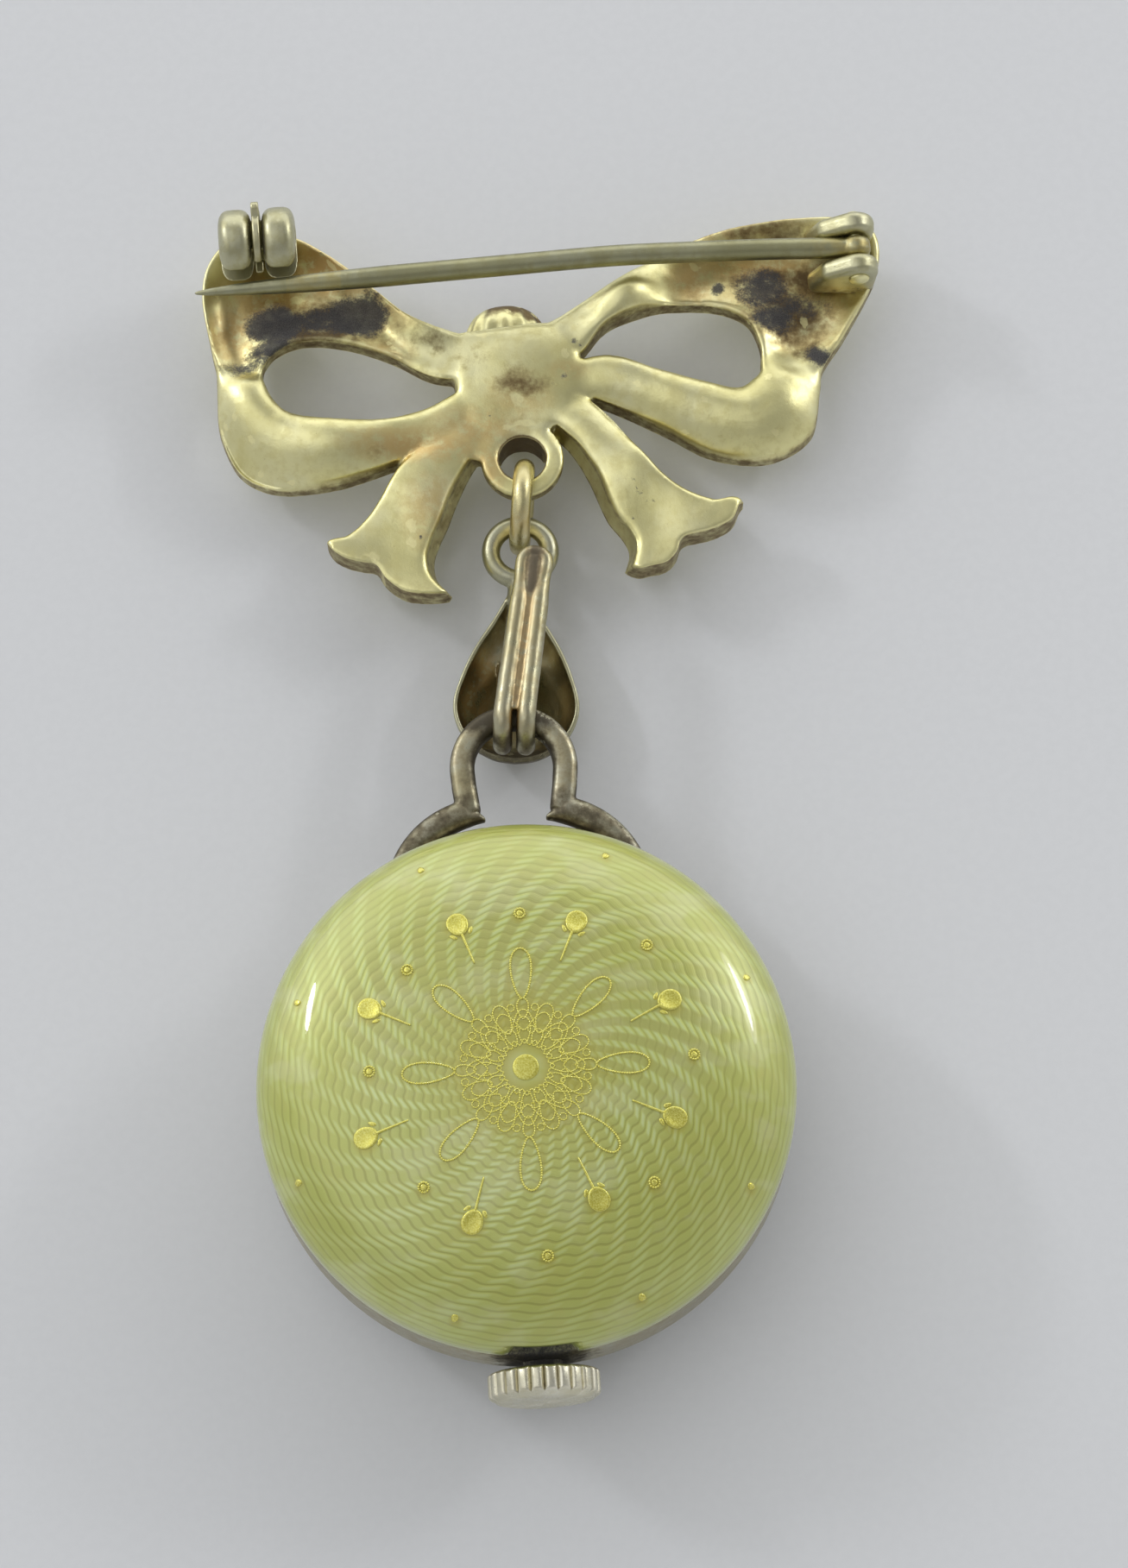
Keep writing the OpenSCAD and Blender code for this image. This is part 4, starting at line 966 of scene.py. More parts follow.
def bow_shape():
    """All the bow's metal but the catch and the ears, in the bow's own frame."""
    points, faces = joined([
        ribbon(LEFT_LOOP, LOOP_T), ribbon(RIGHT_LOOP, LOOP_T), ribbon(MIDDLE, TAIL_T, steps=6),
        tail(LEFT_TAIL, LEFT_CUT, 0.3), tail(RIGHT_TAIL, RIGHT_CUT, 0.4), knot()])
    low, high = points.min(axis=0), points.max(axis=0)
    points = points * np.array([BOW_W / (high[0] - low[0]), BOW_H / (high[1] - low[1]), 1.0])
    return joined([(points, faces), eye()])


# Spots in the row frame, as x, y, radius in x, radius in y, strength. Pits are x, y
SOOT = [(-13.6, 25.0, 1.5, 1.2, 1.0), (-9.4, 25.5, 1.6, 1.2, 1.0), (-11.6, 25.2, 2.6, 1.0, 0.62),
         (-13.5, 23.5, 1.3, 0.8, 0.8), (-14.6, 22.7, 1.5, 0.5, 0.55), (11.6, 27.0, 1.5, 1.5, 0.62),
         (13.4, 26.2, 1.9, 0.9, 0.5), (14.6, 23.3, 0.9, 0.7, 0.75), (12.2, 25.4, 1.2, 1.0, 0.66),
         (9.3, 27.0, 0.4, 0.35, 0.7), (-15.6, 22.5, 0.9, 0.5, 0.5),
         (2.0, 23.9, 0.2, 0.2, 0.6), (1.3, 21.8, 0.22, 0.2, 0.55)]
PITS = [(4.9, 16.2), (5.05, 15.7), (5.5, 15.1), (5.85, 15.1), (4.9, 14.2), (5.3, 15.5), (-5.9, 13.1),
        (-2.4, 19.7), (0.8, 21.4), (2.2, 23.6)]
DARK = [(-11.6, 24.9, 4.2, 1.9, 0.8), (-12.6, 23.2, 2.6, 0.9, 0.8), (-7.4, 24.3, 1.4, 1.0, 0.45),
        (12.6, 27.6, 4.0, 1.0, 0.7), (13.0, 25.6, 2.9, 2.2, 0.72), (8.2, 26.9, 0.9, 1.3, 0.42),
        (11.6, 30.2, 4.5, 0.9, 0.62), (14.4, 23.4, 1.5, 0.9, 0.75), (-0.8, 21.5, 1.7, 1.2, 0.66),
        (-5.4, 23.9, 2.2, 1.1, 0.52), (-3.4, 22.9, 1.6, 0.9, 0.42), (-1.2, 19.4, 2.0, 0.9, 0.36),
        (-8.2, 17.6, 0.8, 0.6, 0.45), (-2.3, 19.7, 0.4, 0.35, 0.45), (-16.5, 24.4, 0.4, 2.6, 0.35)]
STAIN = [(-15.8, 24.7, 1.1, 1.8, 0.75), (-11.2, 28.6, 2.2, 1.3, 0.95), (-10.6, 27.3, 2.6, 0.8, 0.8),
         (-6.0, 18.1, 3.4, 0.9, 0.75), (-3.2, 19.0, 2.2, 1.1, 0.6), (-1.0, 20.8, 1.6, 1.2, 0.4),
         (-2.6, 16.9, 1.0, 1.6, 0.6), (-5.4, 14.6, 1.4, 1.9, 0.45), (8.0, 27.4, 1.2, 1.4, 0.7),
         (11.8, 28.2, 3.6, 0.9, 0.85), (13.6, 24.6, 1.8, 1.2, 0.6), (-8.2, 23.3, 1.6, 1.0, 0.55),
         (10.4, 30.4, 3.6, 0.9, 0.6), (1.6, 22.2, 1.0, 0.5, 0.35), (13.0, 26.4, 3.2, 2.0, 0.75),
         (-13.6, 26.2, 2.8, 2.4, 0.8), (-8.6, 26.0, 2.4, 1.6, 0.6)]


# Places where the back of the bow leans, as x, y, radii, direction in which it falls, and slope
LEANS = [(5.9, 26.9, 2.1, 1.8, 0.96, 0.28, 0.50), (3.0, 25.1, 1.2, 1.0, -0.6, 0.8, 0.34),
         (-12.9, 17.8, 3.4, 2.8, -0.90, -0.44, 0.33), (4.6, 18.2, 1.6, 1.8, -0.7, 0.7, 0.26),
         (6.7, 14.8, 1.8, 2.4, -0.9, -0.44, 0.20), (-6.4, 13.9, 2.2, 2.8, -0.9, -0.44, 0.10),
         (12.0, 19.2, 3.0, 2.0, -0.7, 0.7, 0.10),
         (-0.8, 21.4, 2.6, 2.0, 0.1, -1.0, 0.14), (-5.4, 23.9, 2.2, 1.4, 0.45, -0.9, 0.30)]


def leaning(points, normals):
    """The hand-bent lean of the ribbons: the back of the metal only."""
    moved = points.copy()
    upper = ramp(normals[:, 2], 0.2, 0.7)
    for x, y, rx, ry, ux, uy, slope in LEANS:
        dx, dy = points[:, 0] - x, points[:, 1] - y
        moved[:, 2] -= slope * (dx * ux + dy * uy) * np.exp(-(dx / rx) ** 2 - (dy / ry) ** 2) * upper
    return moved


def bow(metal):
    """The cast bow. Its hollows are blackened and tarnished, and its back is stained. Painted shade darkens its
    undersides and the low metal behind the knot, and, with some tarnish, its side walls and the eye's hole.
    """
    points, faces = fused([bow_shape()], voxel=0.1, smooth=5)
    upper = ramp(skin_normals(points, faces)[:, 2], 0.25, 0.7) * ramp(points[:, 2], 2.9, 3.4)
    # The back flows smoothly over the knot
    reach = np.hypot((points[:, 0] + 0.3) / 6.6, (points[:, 1] - 4.3) / 4.6)
    points, faces = fewer(eased((points, faces), ramp(reach, 1.05, 0.75) * upper, 70))
    hole = ramp(np.hypot(points[:, 0], points[:, 1]), EYE_HOLE_R + 0.22, EYE_HOLE_R + 0.04)
    points = in_bow(points)
    points = leaning(points, skin_normals(points, faces))
    # Casting and hand finishing leave the metal faintly uneven
    obj = new_object("bow_casting", points, faces, metal)
    uneven(obj, points, 0.028 * noise_at(points, 0.55) + 0.010 * noise_at(points, 1.7, 7.0))
    up = normals_of(obj.data)[:, 2]
    side, back, front = share(np.abs(up), 0.55, -0.45), share(up, -0.1, 0.5), share(-up, 0, 0.5)
    ragged = noise_at(points, 0.9, 3.0)[:, None]
    pits = blobs(points, [(x, y, 0.11, 0.11, 0.62) for x, y in PITS])
    x, y, z = points.T
    # Painted shade on the low metal behind the knot and on the undersides; painted shade with some tarnish on the
    # side walls and in the eye's hole. The spots on the back are tarnish, stains, black spots and pits.
    behind = ramp(y, 25.0, 25.8) * ramp(np.abs(x), 3.2, 2.4) * ramp(z, 3.1, 2.5)
    dark = most(blobs(points + 0.5 * ragged, DARK) * back, 0.62 * side, 0.82 * behind, 0.12 * front, 0.85 * hole)
    wear(obj, dark, most(blobs(points, STAIN) * back, 0.25 * side),
         most(blobs(points + 0.35 * ragged, SOOT), pits) * back)
    return obj


# ---------------------------------------------------------------- hinge, pin and catch

def moved(solid, place):
    """A solid put in its place by a function, its faces still looking out."""
    points = place(solid[0])
    return points, outward(points, solid[1])


def at_hinge(points):
    """Points drawn round +Z become points round the rivet."""
    return points[:, [0, 2, 1]] + (*HINGE_IN_BOW, PIN_Z)


def at_catch(points):
    """Points drawn round +Z become points round the pin, in the middle of the catch."""
    return points[:, [2, 1, 0]] * (1, 1, -1) + (*CATCH_IN_BOW, PIN_Z)


def round_plate(discs, thickness, edge):
    """The hull of round discs in the X-Z plane, with rounded rims. A disc is x, z, radius."""
    cloud = []
    for x, z, r in discs:
        e = min(edge, 0.9 * r)
        for a in turns(40):
            for t in range(9):
                b = math.radians(-90 + 180 * t / 8)
                px, pz = polar(r - e + e * math.cos(b), a)
                cloud.append((x + px, math.copysign(thickness / 2 - e, b) + e * math.sin(b), z + pz))
    return hull(cloud)


def ears(metal):
    """The two rounded ears that hold the pin, with solder round their feet."""
    hx, hy = HINGE_IN_BOW
    plate, faces = round_plate([(0, PIN_Z, EAR_R), (-1.2 * EAR_R, PIN_Z - 0.35, 0.72 * EAR_R),
                                (-2.0 * EAR_R, 0.92 * BOW_T, 0.42 * EAR_R),
                                (0.45 * EAR_R, 0.75 * BOW_T, 0.4 * EAR_R)], thickness=EAR_T, edge=0.42)
    apart = HEAD_LEN / 2 + PIECE_GAP + EAR_T / 2
    pair = [(plate + (hx, hy + side * apart, 0), faces) for side in (-1, 1)]
    points, faces = fused(pair, voxel=0.05, smooth=3)
    points = in_bow(points)
    obj = new_object("hinge_ears", points, faces, metal)
    low = share(points[:, 2], 4.6, -1.2)
    wear(obj, 0.55 * low, 0.6 * low, 0.3 * low)
    return obj


def rivet(metal):
    """The hinge rivet, ending in two low burred heads."""
    half, r = (HEAD_LEN + 2 * PIECE_GAP + 2 * EAR_T) / 2, 0.32
    profile = [(0, half + 0.24), (0.5 * r, half + 0.235), (r, half + 0.20), (1.5 * r, half + 0.12),
               (1.68 * r, half + 0.03), (1.6 * r, half - 0.02), (r, half - 0.04), (r, 0)]
    profile += [(x, -z) for x, z in reversed(profile[:-1])]
    points, faces = moved(lathe(profile, segments=40), at_hinge)
    return new_object("hinge_rivet_detail", in_bow(points), faces, metal)


def pin(metal):
    """The stem eases through its two bends, and ends in a long hand-filed point."""
    hx, hy = HINGE_IN_BOW
    bends = [(0, 0), (-0.14, 0.0135), (-0.36, 0.024), (-1, -0.002)]
    corners = [(hx + a * PIN_LEN, hy + b * BOW_H, PIN_Z) for a, b in bends]
    path = rounded_path(corners, step=0.1, soft=3.2)
    from_tip, from_head = (np.linalg.norm(path - path[k], axis=1) for k in (-1, 0))
    radius = np.interp(from_tip, (0.0, 0.03, 0.25, 0.8, 2.3, 4.3, 6.2, 9.0, 10.0),
                       (0.0, 0.07, 0.115, 0.19, 0.31, 0.41, 0.48, 0.535, 0.55))
    radius = np.maximum(radius, 0.012) * np.interp(from_head, [0, 2.5], [0.97, 1.0])
    e = 0.42
    flat, top = HEAD_R - e, HEAD_LEN / 2
    profile = [(0, top), (flat, top)]
    profile += [(flat + e * math.sin(a), top - e + e * math.cos(a)) for a in map(math.radians, range(15, 91, 15))]
    profile += [(x, -z) for x, z in reversed(profile)]
    head = moved(lathe(profile, segments=64), at_hinge)
    points, faces = fused([sweep(path, radius, sides=40), head], voxel=0.05, smooth=4)
    points = in_bow(points)
    obj = new_object("pin_detail", points, faces, metal)
    near = share(np.abs(points[:, 0] - HINGE[0]), 3.0, -3.0)
    # Painted shade, with a little stain, on the underside that faces the bow
    under = share(points[:, 2], PIN_Z, -0.5)
    rubbed = np.abs(points[:, 0] + 11.5) < 1.4
    wear(obj, most(0.35 * near, 0.38 * under), 0.5 * near + 0.25 * under + 0.25 * rubbed, 0.1 * near)
    return obj


def half_wheels():
    """Two discs with round shoulders, side by side round the pin."""
    parts = []
    width = (CATCH_W - SLOT_W) / 2
    for side in (-1, 1):
        profile = [(0, width / 2)]
        for k in range(17):
            a = math.pi * k / 16
            reach = 0.82 if k <= 8 else 0.74
            profile.append((CATCH_R - reach + reach * math.sin(a), width / 2 * signed_power(math.cos(a), 0.55)))
        profile.append((0, -width / 2))
        if side < 0:
            profile = [(r, -z) for r, z in reversed(profile)]
        profile = [(max(r, 0), z + side * (SLOT_W + width) / 2) for r, z in profile]
        p, f = lathe(profile, segments=96)
        p = at_catch(p)
        below = CATCH_IN_BOW[1] - p[:, 1]
        p[:, 1] -= np.where(below > 0, 0.1 * below, 0) + 0.08
        parts.append((p, outward(p, f)))
    return parts


def rod(r, half, segments):
    """A round bar along the pin, in the middle of the catch."""
    return moved(lathe([(0, half), (r, half), (r, -half), (0, -half)], segments), at_catch)


def catch_mouth(reach):
    """What is cut away to let the pin in from the side."""
    (cx, cy), low = CATCH_IN_BOW, CATCH_IN_BOW[1] - 2 * CATCH_R
    return prism([(cx - reach, low), (cx + reach, low), (cx + reach, cy), (cx - reach, cy)],
                 PIN_Z - CATCH_MOUTH / 2, PIN_Z + CATCH_MOUTH / 2)


def catch(metal):
    """Two round-shouldered half wheels on a sleeve, open to one side for the pin."""
    cx, cy = CATCH_IN_BOW
    hole, mouth = rod(CATCH_HOLE_R, CATCH_W, 64), catch_mouth(CATCH_W)
    parts = [cut(cut(piece, hole), mouth) for piece in half_wheels() + [rod(SLEEVE_R, CATCH_W / 2 - 0.4, 72)]]
    plate, faces = round_plate([(0, PIN_Z - CATCH_HOLE_R - 0.62, 0.32), (0, 0.66 * BOW_T, 0.40)],
                               thickness=1.9, edge=0.25)
    for side in (-1, 1):
        parts.append((plate * (1.7, 1, 1) + (cx + side * (SLOT_W / 2 + 0.8), cy, 0), faces))
    points, faces = fused(parts, voxel=0.05, smooth=3)
    points = in_bow(points)
    obj = new_object("catch_detail", points, faces, metal)
    # Darker and blacker towards its feet; painted shade on the wheels' faces beside the lever's slot
    low = share(points[:, 2], 4.4, -1.4)
    axis = turned([[1, 0, 0]], BOW_TURN)[0]
    inner = np.exp(-((np.abs((points - CATCH) @ axis) - 0.36) / 0.16) ** 2)
    wear(obj, most(0.6 * low, 0.55 * inner), 0.35 * low, most(0.45 * low, 0.3 * inner))
    return obj


def lever(metal):
    """The flat ring that turns in the slot, with its thumb tab."""
    half, e, r0, r1 = LEVER_T / 2, 0.07, SLEEVE_R + 0.05, LEVER_R
    upper = [(r0, half - e), (r0 + e, half), (r1 - e, half), (r1, half - e)]
    profile = upper + [(r, -z) for r, z in reversed(upper)]
    ring = cut(moved(lathe(profile, segments=96, close=True), at_catch), catch_mouth(1))
    plate = round_plate([(0.0, SLEEVE_R + 0.45, 0.40), (0.0, TAB_REACH - 0.32, 0.32)],
                        thickness=LEVER_T, edge=0.08)
    # The tab is drawn upright, its thickness turned along x, and then laid over to its direction
    tab = moved(plate, lambda p: turned(p[:, [0, 2, 1]], TAB_RISE - 90)[:, [2, 0, 1]] + (*CATCH_IN_BOW, PIN_Z))
    points, faces = fused([ring, tab], voxel=0.04, smooth=2)
    obj = new_object("lever_detail", in_bow(points), faces, metal)
    wear(obj, 0.05, 0.12, 0.0)
    return obj


# ---------------------------------------------------------------- rings, pear drop and hook

def wire_ring(r, wire, wobble, seed):
    """A ring of wire round +Z, a little out of true."""
    rings = []
    for a in turns(160):
        rr = r + wobble * math.sin(2 * a + seed)
        w = wire * (1 + 0.02 * math.sin(3 * a + seed))
        rings.append([(*polar(rr + w * math.cos(b), a), w * math.sin(b)) for b in turns(32)])
    return loft(rings, close=True)


def jump_ring(metal):
    """The ring from the bow's eye to the drop, darker where the drop's ring rubs."""
    ring = wire_ring(JUMP_R, JUMP_WIRE_R, 0.012, 0.6)
    points, faces = moved(ring, lambda p: turned(p[:, [2, 1, 0]] * (1, 1, -1), JUMP_TURN)
                          + np.array([0, JUMP_Y, JUMP_Z]) + EYE)
    obj = new_object("jump_ring_detail", points, faces, metal)
    rubbed = share(np.abs(points[:, 1] - EYE[1] - JUMP_Y + 1.5), 0.9, -0.9)
    wear(obj, 0.14 * rubbed, 0.1 + 0.28 * rubbed, 0.0)
    return obj


# The pear: height in shares of its length, half-width in shares of its width
PEAR_OUTLINE = [(1.00, 0.00), (0.985, 0.085), (0.93, 0.13), (0.82, 0.215), (0.68, 0.335), (0.53, 0.43),
                (0.35, 0.50), (0.21, 0.465), (0.09, 0.345), (0.02, 0.175), (0.00, 0.00)]


def pear():
    """A shallow bowl, its hollow side up, with a rounded rim."""
    length = PEAR_TOP - PEAR_BOTTOM
    half = [(-max(w, 0) * PEAR_W, PEAR_BOTTOM + h * length) for h, w in spline(PEAR_OUTLINE, 7)]
    outline = half + [(-x, y) for x, y in half[-2:0:-1]]
    cy, inset, steps = PEAR_BOTTOM + 0.4 * length, 0.075, 22
    bowl = [math.radians(88 * i / steps) for i in range(steps + 1)]
    bowl = [(max(math.cos(a), 0.02) ** 0.8, math.sin(a)) for a in bowl]
    # Size and height of each ring: outside from the bottom up, rim, and inside down again
    sizes = [(s, PEAR_DEPTH * (1 - deep)) for s, deep in reversed(bowl)]
    for k in range(1, 6):
        a = math.pi * k / 6
        sizes.append((1 - inset * (1 - math.cos(a)) / 2, PEAR_DEPTH + 0.10 * math.sin(a)))
    sizes += [((1 - inset) * s, PEAR_DEPTH - (PEAR_DEPTH - PEAR_WALL) * deep) for s, deep in bowl]
    return loft([[(x * s, cy + (y - cy) * s, z) for x, y in outline] for s, z in sizes])


# How far the hook leans and falls for each millimetre of its length, and the middle of its free end
LEAN, FALL = math.tan(math.radians(HOOK_LEAN)), math.tan(math.radians(HOOK_FALL))
HOOK_END = np.array([HOOK_LEN * LEAN, CURL_Y + HOOK_LEN, STEM_Z + CURL_R - HOOK_LEN * FALL])


def hook_path():
    """One wire from the drop, round the bail, up to the free end and back beside itself."""
    half = HOOK_PINCH / 2
    runs = []
    for side in (-1, 1):
        x = side * HOOK_SPREAD / 2
        run = [(x, CURL_Y + HOOK_FOOT, 0.67 * PEAR_WALL + HOOK_WIRE_R), (x, CURL_Y, STEM_Z - CURL_R)]
        for a in range(-80, 91, 10):
            y, z = polar(CURL_R, math.radians(a))
            run.append((x, CURL_Y - y, STEM_Z + z))
        run.append(HOOK_END + (side * half - HOOK_JOIN * LEAN, -HOOK_JOIN, HOOK_JOIN * FALL))
        run.append(HOOK_END + (side * 1.2 * half - 0.25 * LEAN, -0.25, 0))
        runs.append(run)
    tip = []
    for a in range(165, 10, -15):
        b = math.radians(a)
        y = half * math.sin(b) - 0.1
        tip.append((1.2 * half * math.cos(b), y, -y * FALL))
    return runs[0] + list(turned(tip, -HOOK_LEAN) + HOOK_END) + runs[1][::-1]


def solder():
    """Solder between the two runs of wire, lower at the free end, and at the foot in the pear."""
    x, y, z = HOOK_END
    seam = [(0, CURL_Y + 0.2, STEM_Z + CURL_R - 0.02),
            (0.5 * HOOK_LEN * LEAN, CURL_Y + 0.5 * HOOK_LEN, STEM_Z + CURL_R - 0.5 * HOOK_LEN * FALL),
            (x - HOOK_JOIN * LEAN, y - HOOK_JOIN, z + HOOK_JOIN * FALL),
            (x - 1.2 * LEAN, y - 1.2, z + 1.0 * FALL), (x, y + 0.1, z - 0.02)]
    seam = rounded_path(seam, step=0.1, soft=0.4)
    fill = np.interp(y - seam[:, 1], [0, 1.5, 2.2, 6.6, 7.6, 8.6], [0.52, 0.52, 0.46, 0.44, 0.36, 0.30])
    return [sweep(seam, fill, sides=20, flat=0.72), ball((0, CURL_Y + 4.1, 0.62), 0.75, squash=(1.25, 1.1, 0.5))]


def drop_and_hook(metal):
    """The hollow drop with its ring and its hook: stained and darkened by painted shade inside, with a painted
    shadow on its bottom under the curl, and dull where the wires touch.
    """
    p, f = wire_ring(DROP_RING_R, DROP_WIRE_R, 0.02, 1.2)
    ring = (p + (0, DROP_Y, DROP_Z), f)
    low = DROP_Y - DROP_RING_R
    neck = sweep([(0, low - 0.05, DROP_Z), (0, low - 0.8, DROP_Z - 0.25), (0, PEAR_TOP - 0.7, 0.72 * PEAR_DEPTH),
                  (0, PEAR_TOP - 1.4, 0.6 * PEAR_DEPTH)], [0.56, 0.62, 0.72, 0.5], sides=28)
    path, end_y = rounded_path(hook_path(), step=0.08, soft=0.4), HOOK_END[1]
    thinner = HOOK_END_R + (HOOK_WIRE_R - HOOK_END_R) * ramp(end_y - path[:, 1], 0.9, 2.4)
    hook = sweep(path, np.where(path[:, 2] > STEM_Z, thinner, HOOK_WIRE_R), sides=28)
    points, faces = fewer(fused([ring, neck, pear(), hook, *solder()], voxel=0.065, smooth=3))
    placed = in_drop(points)
    obj = new_object("drop_detail", placed, faces, metal)
    uneven(obj, placed, 0.012 * noise_at(placed, 1.4))
    x, y, z = points.T
    # Inside the bowl: stain and painted shade, less dark and warmer on the left
    inside = ((y < PEAR_TOP - 0.6) & (y > PEAR_BOTTOM + 0.2) & (z < PEAR_DEPTH - 0.12)
              & (normals_of(obj.data)[:, 2] > -0.25))
    wire = z > 3.4
    off = x - (y - CURL_Y) * LEAN
    between = wire * np.exp(-(off / 0.24) ** 2)
    tip = wire * ramp(y, end_y - 2.3, end_y - 1.5) * ramp(np.abs(off), 0.62, 0.4)
    # Painted shadow on the bowl's bottom, under the curl
    low_shadow_under_curl = share(y, CURL_Y - 0.5, -0.8) * share(z, 3, 2)
    ring_side = share(y, PEAR_TOP, 0.4) * share(z, 3.0, -0.5)
    warm = inside * ramp(x, -0.9, -1.6) * ramp(y, PEAR_TOP - 2.2, PEAR_TOP - 4.0)
    # Painted shadow on the bowl's rim just under the curl
    shadow_under_curl = ramp(y, CURL_Y + 0.1, CURL_Y - 0.7) * ramp(z, 3.4, 2.9)
    wear(obj, inside * (0.15 - 0.1 * warm) + 0.8 * shadow_under_curl + 0.42 * between + 0.5 * tip + 0.6 * low_shadow_under_curl
         + 0.38 * ring_side, 0.4 * inside + 0.6 * warm + 0.4 * tip + 0.9 * between + 0.25 * wire,
         0.12 * inside - 0.12 * warm)
    return obj


# ---------------------------------------------------------------- the watch

ENAMEL_Z = BACK_Z + PIECE_GAP


def dome_height(r):
    """The enamel's surface, a little lower than the solid's, so that the gold stays within it."""
    return (DOME_H - FOIL_RISE) * np.maximum(1 - (np.abs(r) / CASE_R) ** DOME_POWER, 0) ** (1 / DOME_POWER)


def on_dome(x, y, lift=0.0):
    """A point on the enamel, in the watch's frame, lifted along the surface's normal."""
    r, d = math.hypot(x, y), 0.01
    slope = (dome_height(min(r + d, CASE_R)) - dome_height(max(r - d, 0))) / (2 * d) if r > d else 0.0
    n = np.array([-slope * x / max(r, 1e-6), -slope * y / max(r, 1e-6), 1.0])
    n /= np.linalg.norm(n)
    return np.array([x, y, ENAMEL_Z + dome_height(r)]) + lift * n


def enamel_back(material):
    """The domed back, thinned at the notch over the crown."""
    radii = [CASE_R * math.sin(math.radians(90 * (1 - i / 120))) for i in range(121)]
    outer = [(max(r, 0.0), ENAMEL_Z + dome_height(r)) for r in radii]
    inner_r = CASE_R - DOME_WALL
    radii = [inner_r * math.sin(math.radians(90 * i / 24)) for i in range(25)]
    inner = [(r, ENAMEL_Z + (DOME_H - DOME_WALL) * (1 - (r / inner_r) ** DOME_POWER) ** (1 / DOME_POWER))
             for r in radii if r < 11.5]
    lip_r, lip_t, lip_h = CASE_R - CASE_WALL - PIECE_GAP, 0.5, 0.6
    lip = [(lip_r - lip_t, ENAMEL_Z + 0.1), (lip_r - lip_t, ENAMEL_Z - lip_h), (lip_r, ENAMEL_Z - lip_h),
           (lip_r, ENAMEL_Z), (CASE_R - 0.05, ENAMEL_Z)]
    p, f = lathe(outer + inner + lip, segments=288)
    # The notch: the rim steps inwards over the crown
    across, along, _ = turned(p, -CROWN_SIDE).T
    r, rise = np.hypot(p[:, 0], p[:, 1]), p[:, 2] - ENAMEL_Z
    wide = share(np.abs(across), NOTCH_HALF_W, -NOTCH_SLOPE)
    tall = share(rise, NOTCH_H, -0.12)
    limit = CASE_R - NOTCH_DEPTH * wide * wide * (3 - 2 * wide)
    inward = (along < 0) & (rise > -0.01) & (tall > 0) & (r > limit)
    p[:, :2] *= np.where(inward, (r + (limit - r) * tall) / np.maximum(r, 1e-9), 1.0)[:, None]
    obj = new_object("enamel_detail", in_watch(p), outward(p, f), material, sharp=50)
    # Length along the surface from the middle, for the engine turning
    top = np.array(outer[::-1])
    lengths = np.concatenate([[0], np.cumsum(np.hypot(*np.diff(top, axis=0).T))])
    attribute(obj, "arc", np.interp(r, top[:, 0], lengths))
    attribute(obj, "gold", gold_tint(p))
    return obj


# ---------------------------------------------------------------- gold in the enamel

# Ornament round the middle of the back, each as angle in the row frame and distance from the middle.
# Eight budded stalks stand between eight loops, and dots lie farther out. It is laid by hand.
BUDS = [(114.9, 7.8), (71.7, 7.6), (26.4, 7.6), (-18.1, 7.4), (-61.1, 7.1), (-108.8, 7.7), (-156.6, 8.2),
        (158.3, 8.0)]
DOTS = [(92.4, 7.65), (46.7, 8.4), (5.4, 8.0), (-41.7, 8.1), (-83.2, 8.9), (-130.2, 7.4), (-179.2, 7.4),
        (139.5, 7.45)]
RIM_DOTS = [(116.8, 11.3), (70.6, 11.5), (24.5, 11.6), (-26.4, 11.9), (-62.6, 11.9), (-106.0, 12.0),
            (-154.5, 11.9), (162.0, 11.5)]
LOOPS = [93.0 - 45.0 * k for k in range(8)]
BUD_R = 0.55


def spot(angle, r):
    """A place on the back, in the watch's frame, from an angle in the row frame."""
    return polar(r, math.radians(angle - WATCH_TURN))


def facing(direction, u, v, x=0.0, y=0.0):
    """The place that lies u along a direction in degrees, and v to its left, from x and y."""
    d = math.radians(direction)
    return x + u * math.cos(d) - v * math.sin(d), y + u * math.sin(d) + v * math.cos(d)


def beaded(path, r, bead=0.115):
    """A fine twisted wire that follows points on the dome."""
    pts = np.array(path)
    total = np.concatenate([[0], np.cumsum(np.linalg.norm(np.diff(pts, axis=0), axis=1))])
    n = max(8, int(total[-1] / bead * 4))
    at = np.linspace(0, total[-1], n)
    even = np.stack([np.interp(at, total, pts[:, k]) for k in range(3)], axis=1)
    return sweep(even, r * (0.78 + 0.30 * np.cos(np.arange(n) * math.pi / 2)), sides=6)


def petal(direction, near, far, half):
    """A drop-shaped loop that points outwards."""
    out = []
    for k in range(37):
        t = 2 * math.pi * k / 36
        along = near + (far - near) * (0.5 - 0.5 * math.cos(t))
        across = half * math.sin(t) * (0.55 + 0.45 * (along - near) / (far - near))
        out.append(on_dome(*facing(direction, along, across)))
    return out


def ringlet(x, y, r, n):
    """A small closed ring round a place on the dome."""
    return [on_dome(x + r * math.cos(b), y + r * math.sin(b)) for b in np.linspace(0, 2 * math.pi, n)]


def leaf(x, y, direction, length, width, thick):
    """A small pressed leaf of foil that lies on the dome."""
    rings = []
    for level, shrink in ((-0.6, 1.0), (0.55, 0.93), (0.9, 0.62), (1.0, 0.2)):
        ring = []
        for a in turns(20):
            u = shrink * length / 2 * math.cos(a)
            v = shrink * width / 2 * math.sin(a) * (1 - 0.25 * math.cos(a))
            ring.append(on_dome(*facing(direction, u, v, x, y), level * thick))
        rings.append(ring)
    return loft(rings)


def bud(x, y, direction):
    """A pressed cup of foil: a raised rim, higher towards the middle of the back, round a hollow."""
    rings = []
    for radius, height in ((1.02, -0.02), (1.0, 0.05), (0.9, 0.082), (0.74, 0.07), (0.5, 0.03), (0.2, 0.018)):
        ring = []
        for a in turns(28):
            u = BUD_R * radius * math.cos(a) * 1.08
            v = BUD_R * radius * math.sin(a) * (0.94 + 0.08 * math.cos(a))
            high = height * (0.72 - 0.28 * math.cos(a)) if height > 0 else height
            ring.append(on_dome(*facing(direction, u, v, x, y), high))
        rings.append(ring)
    return loft(rings)


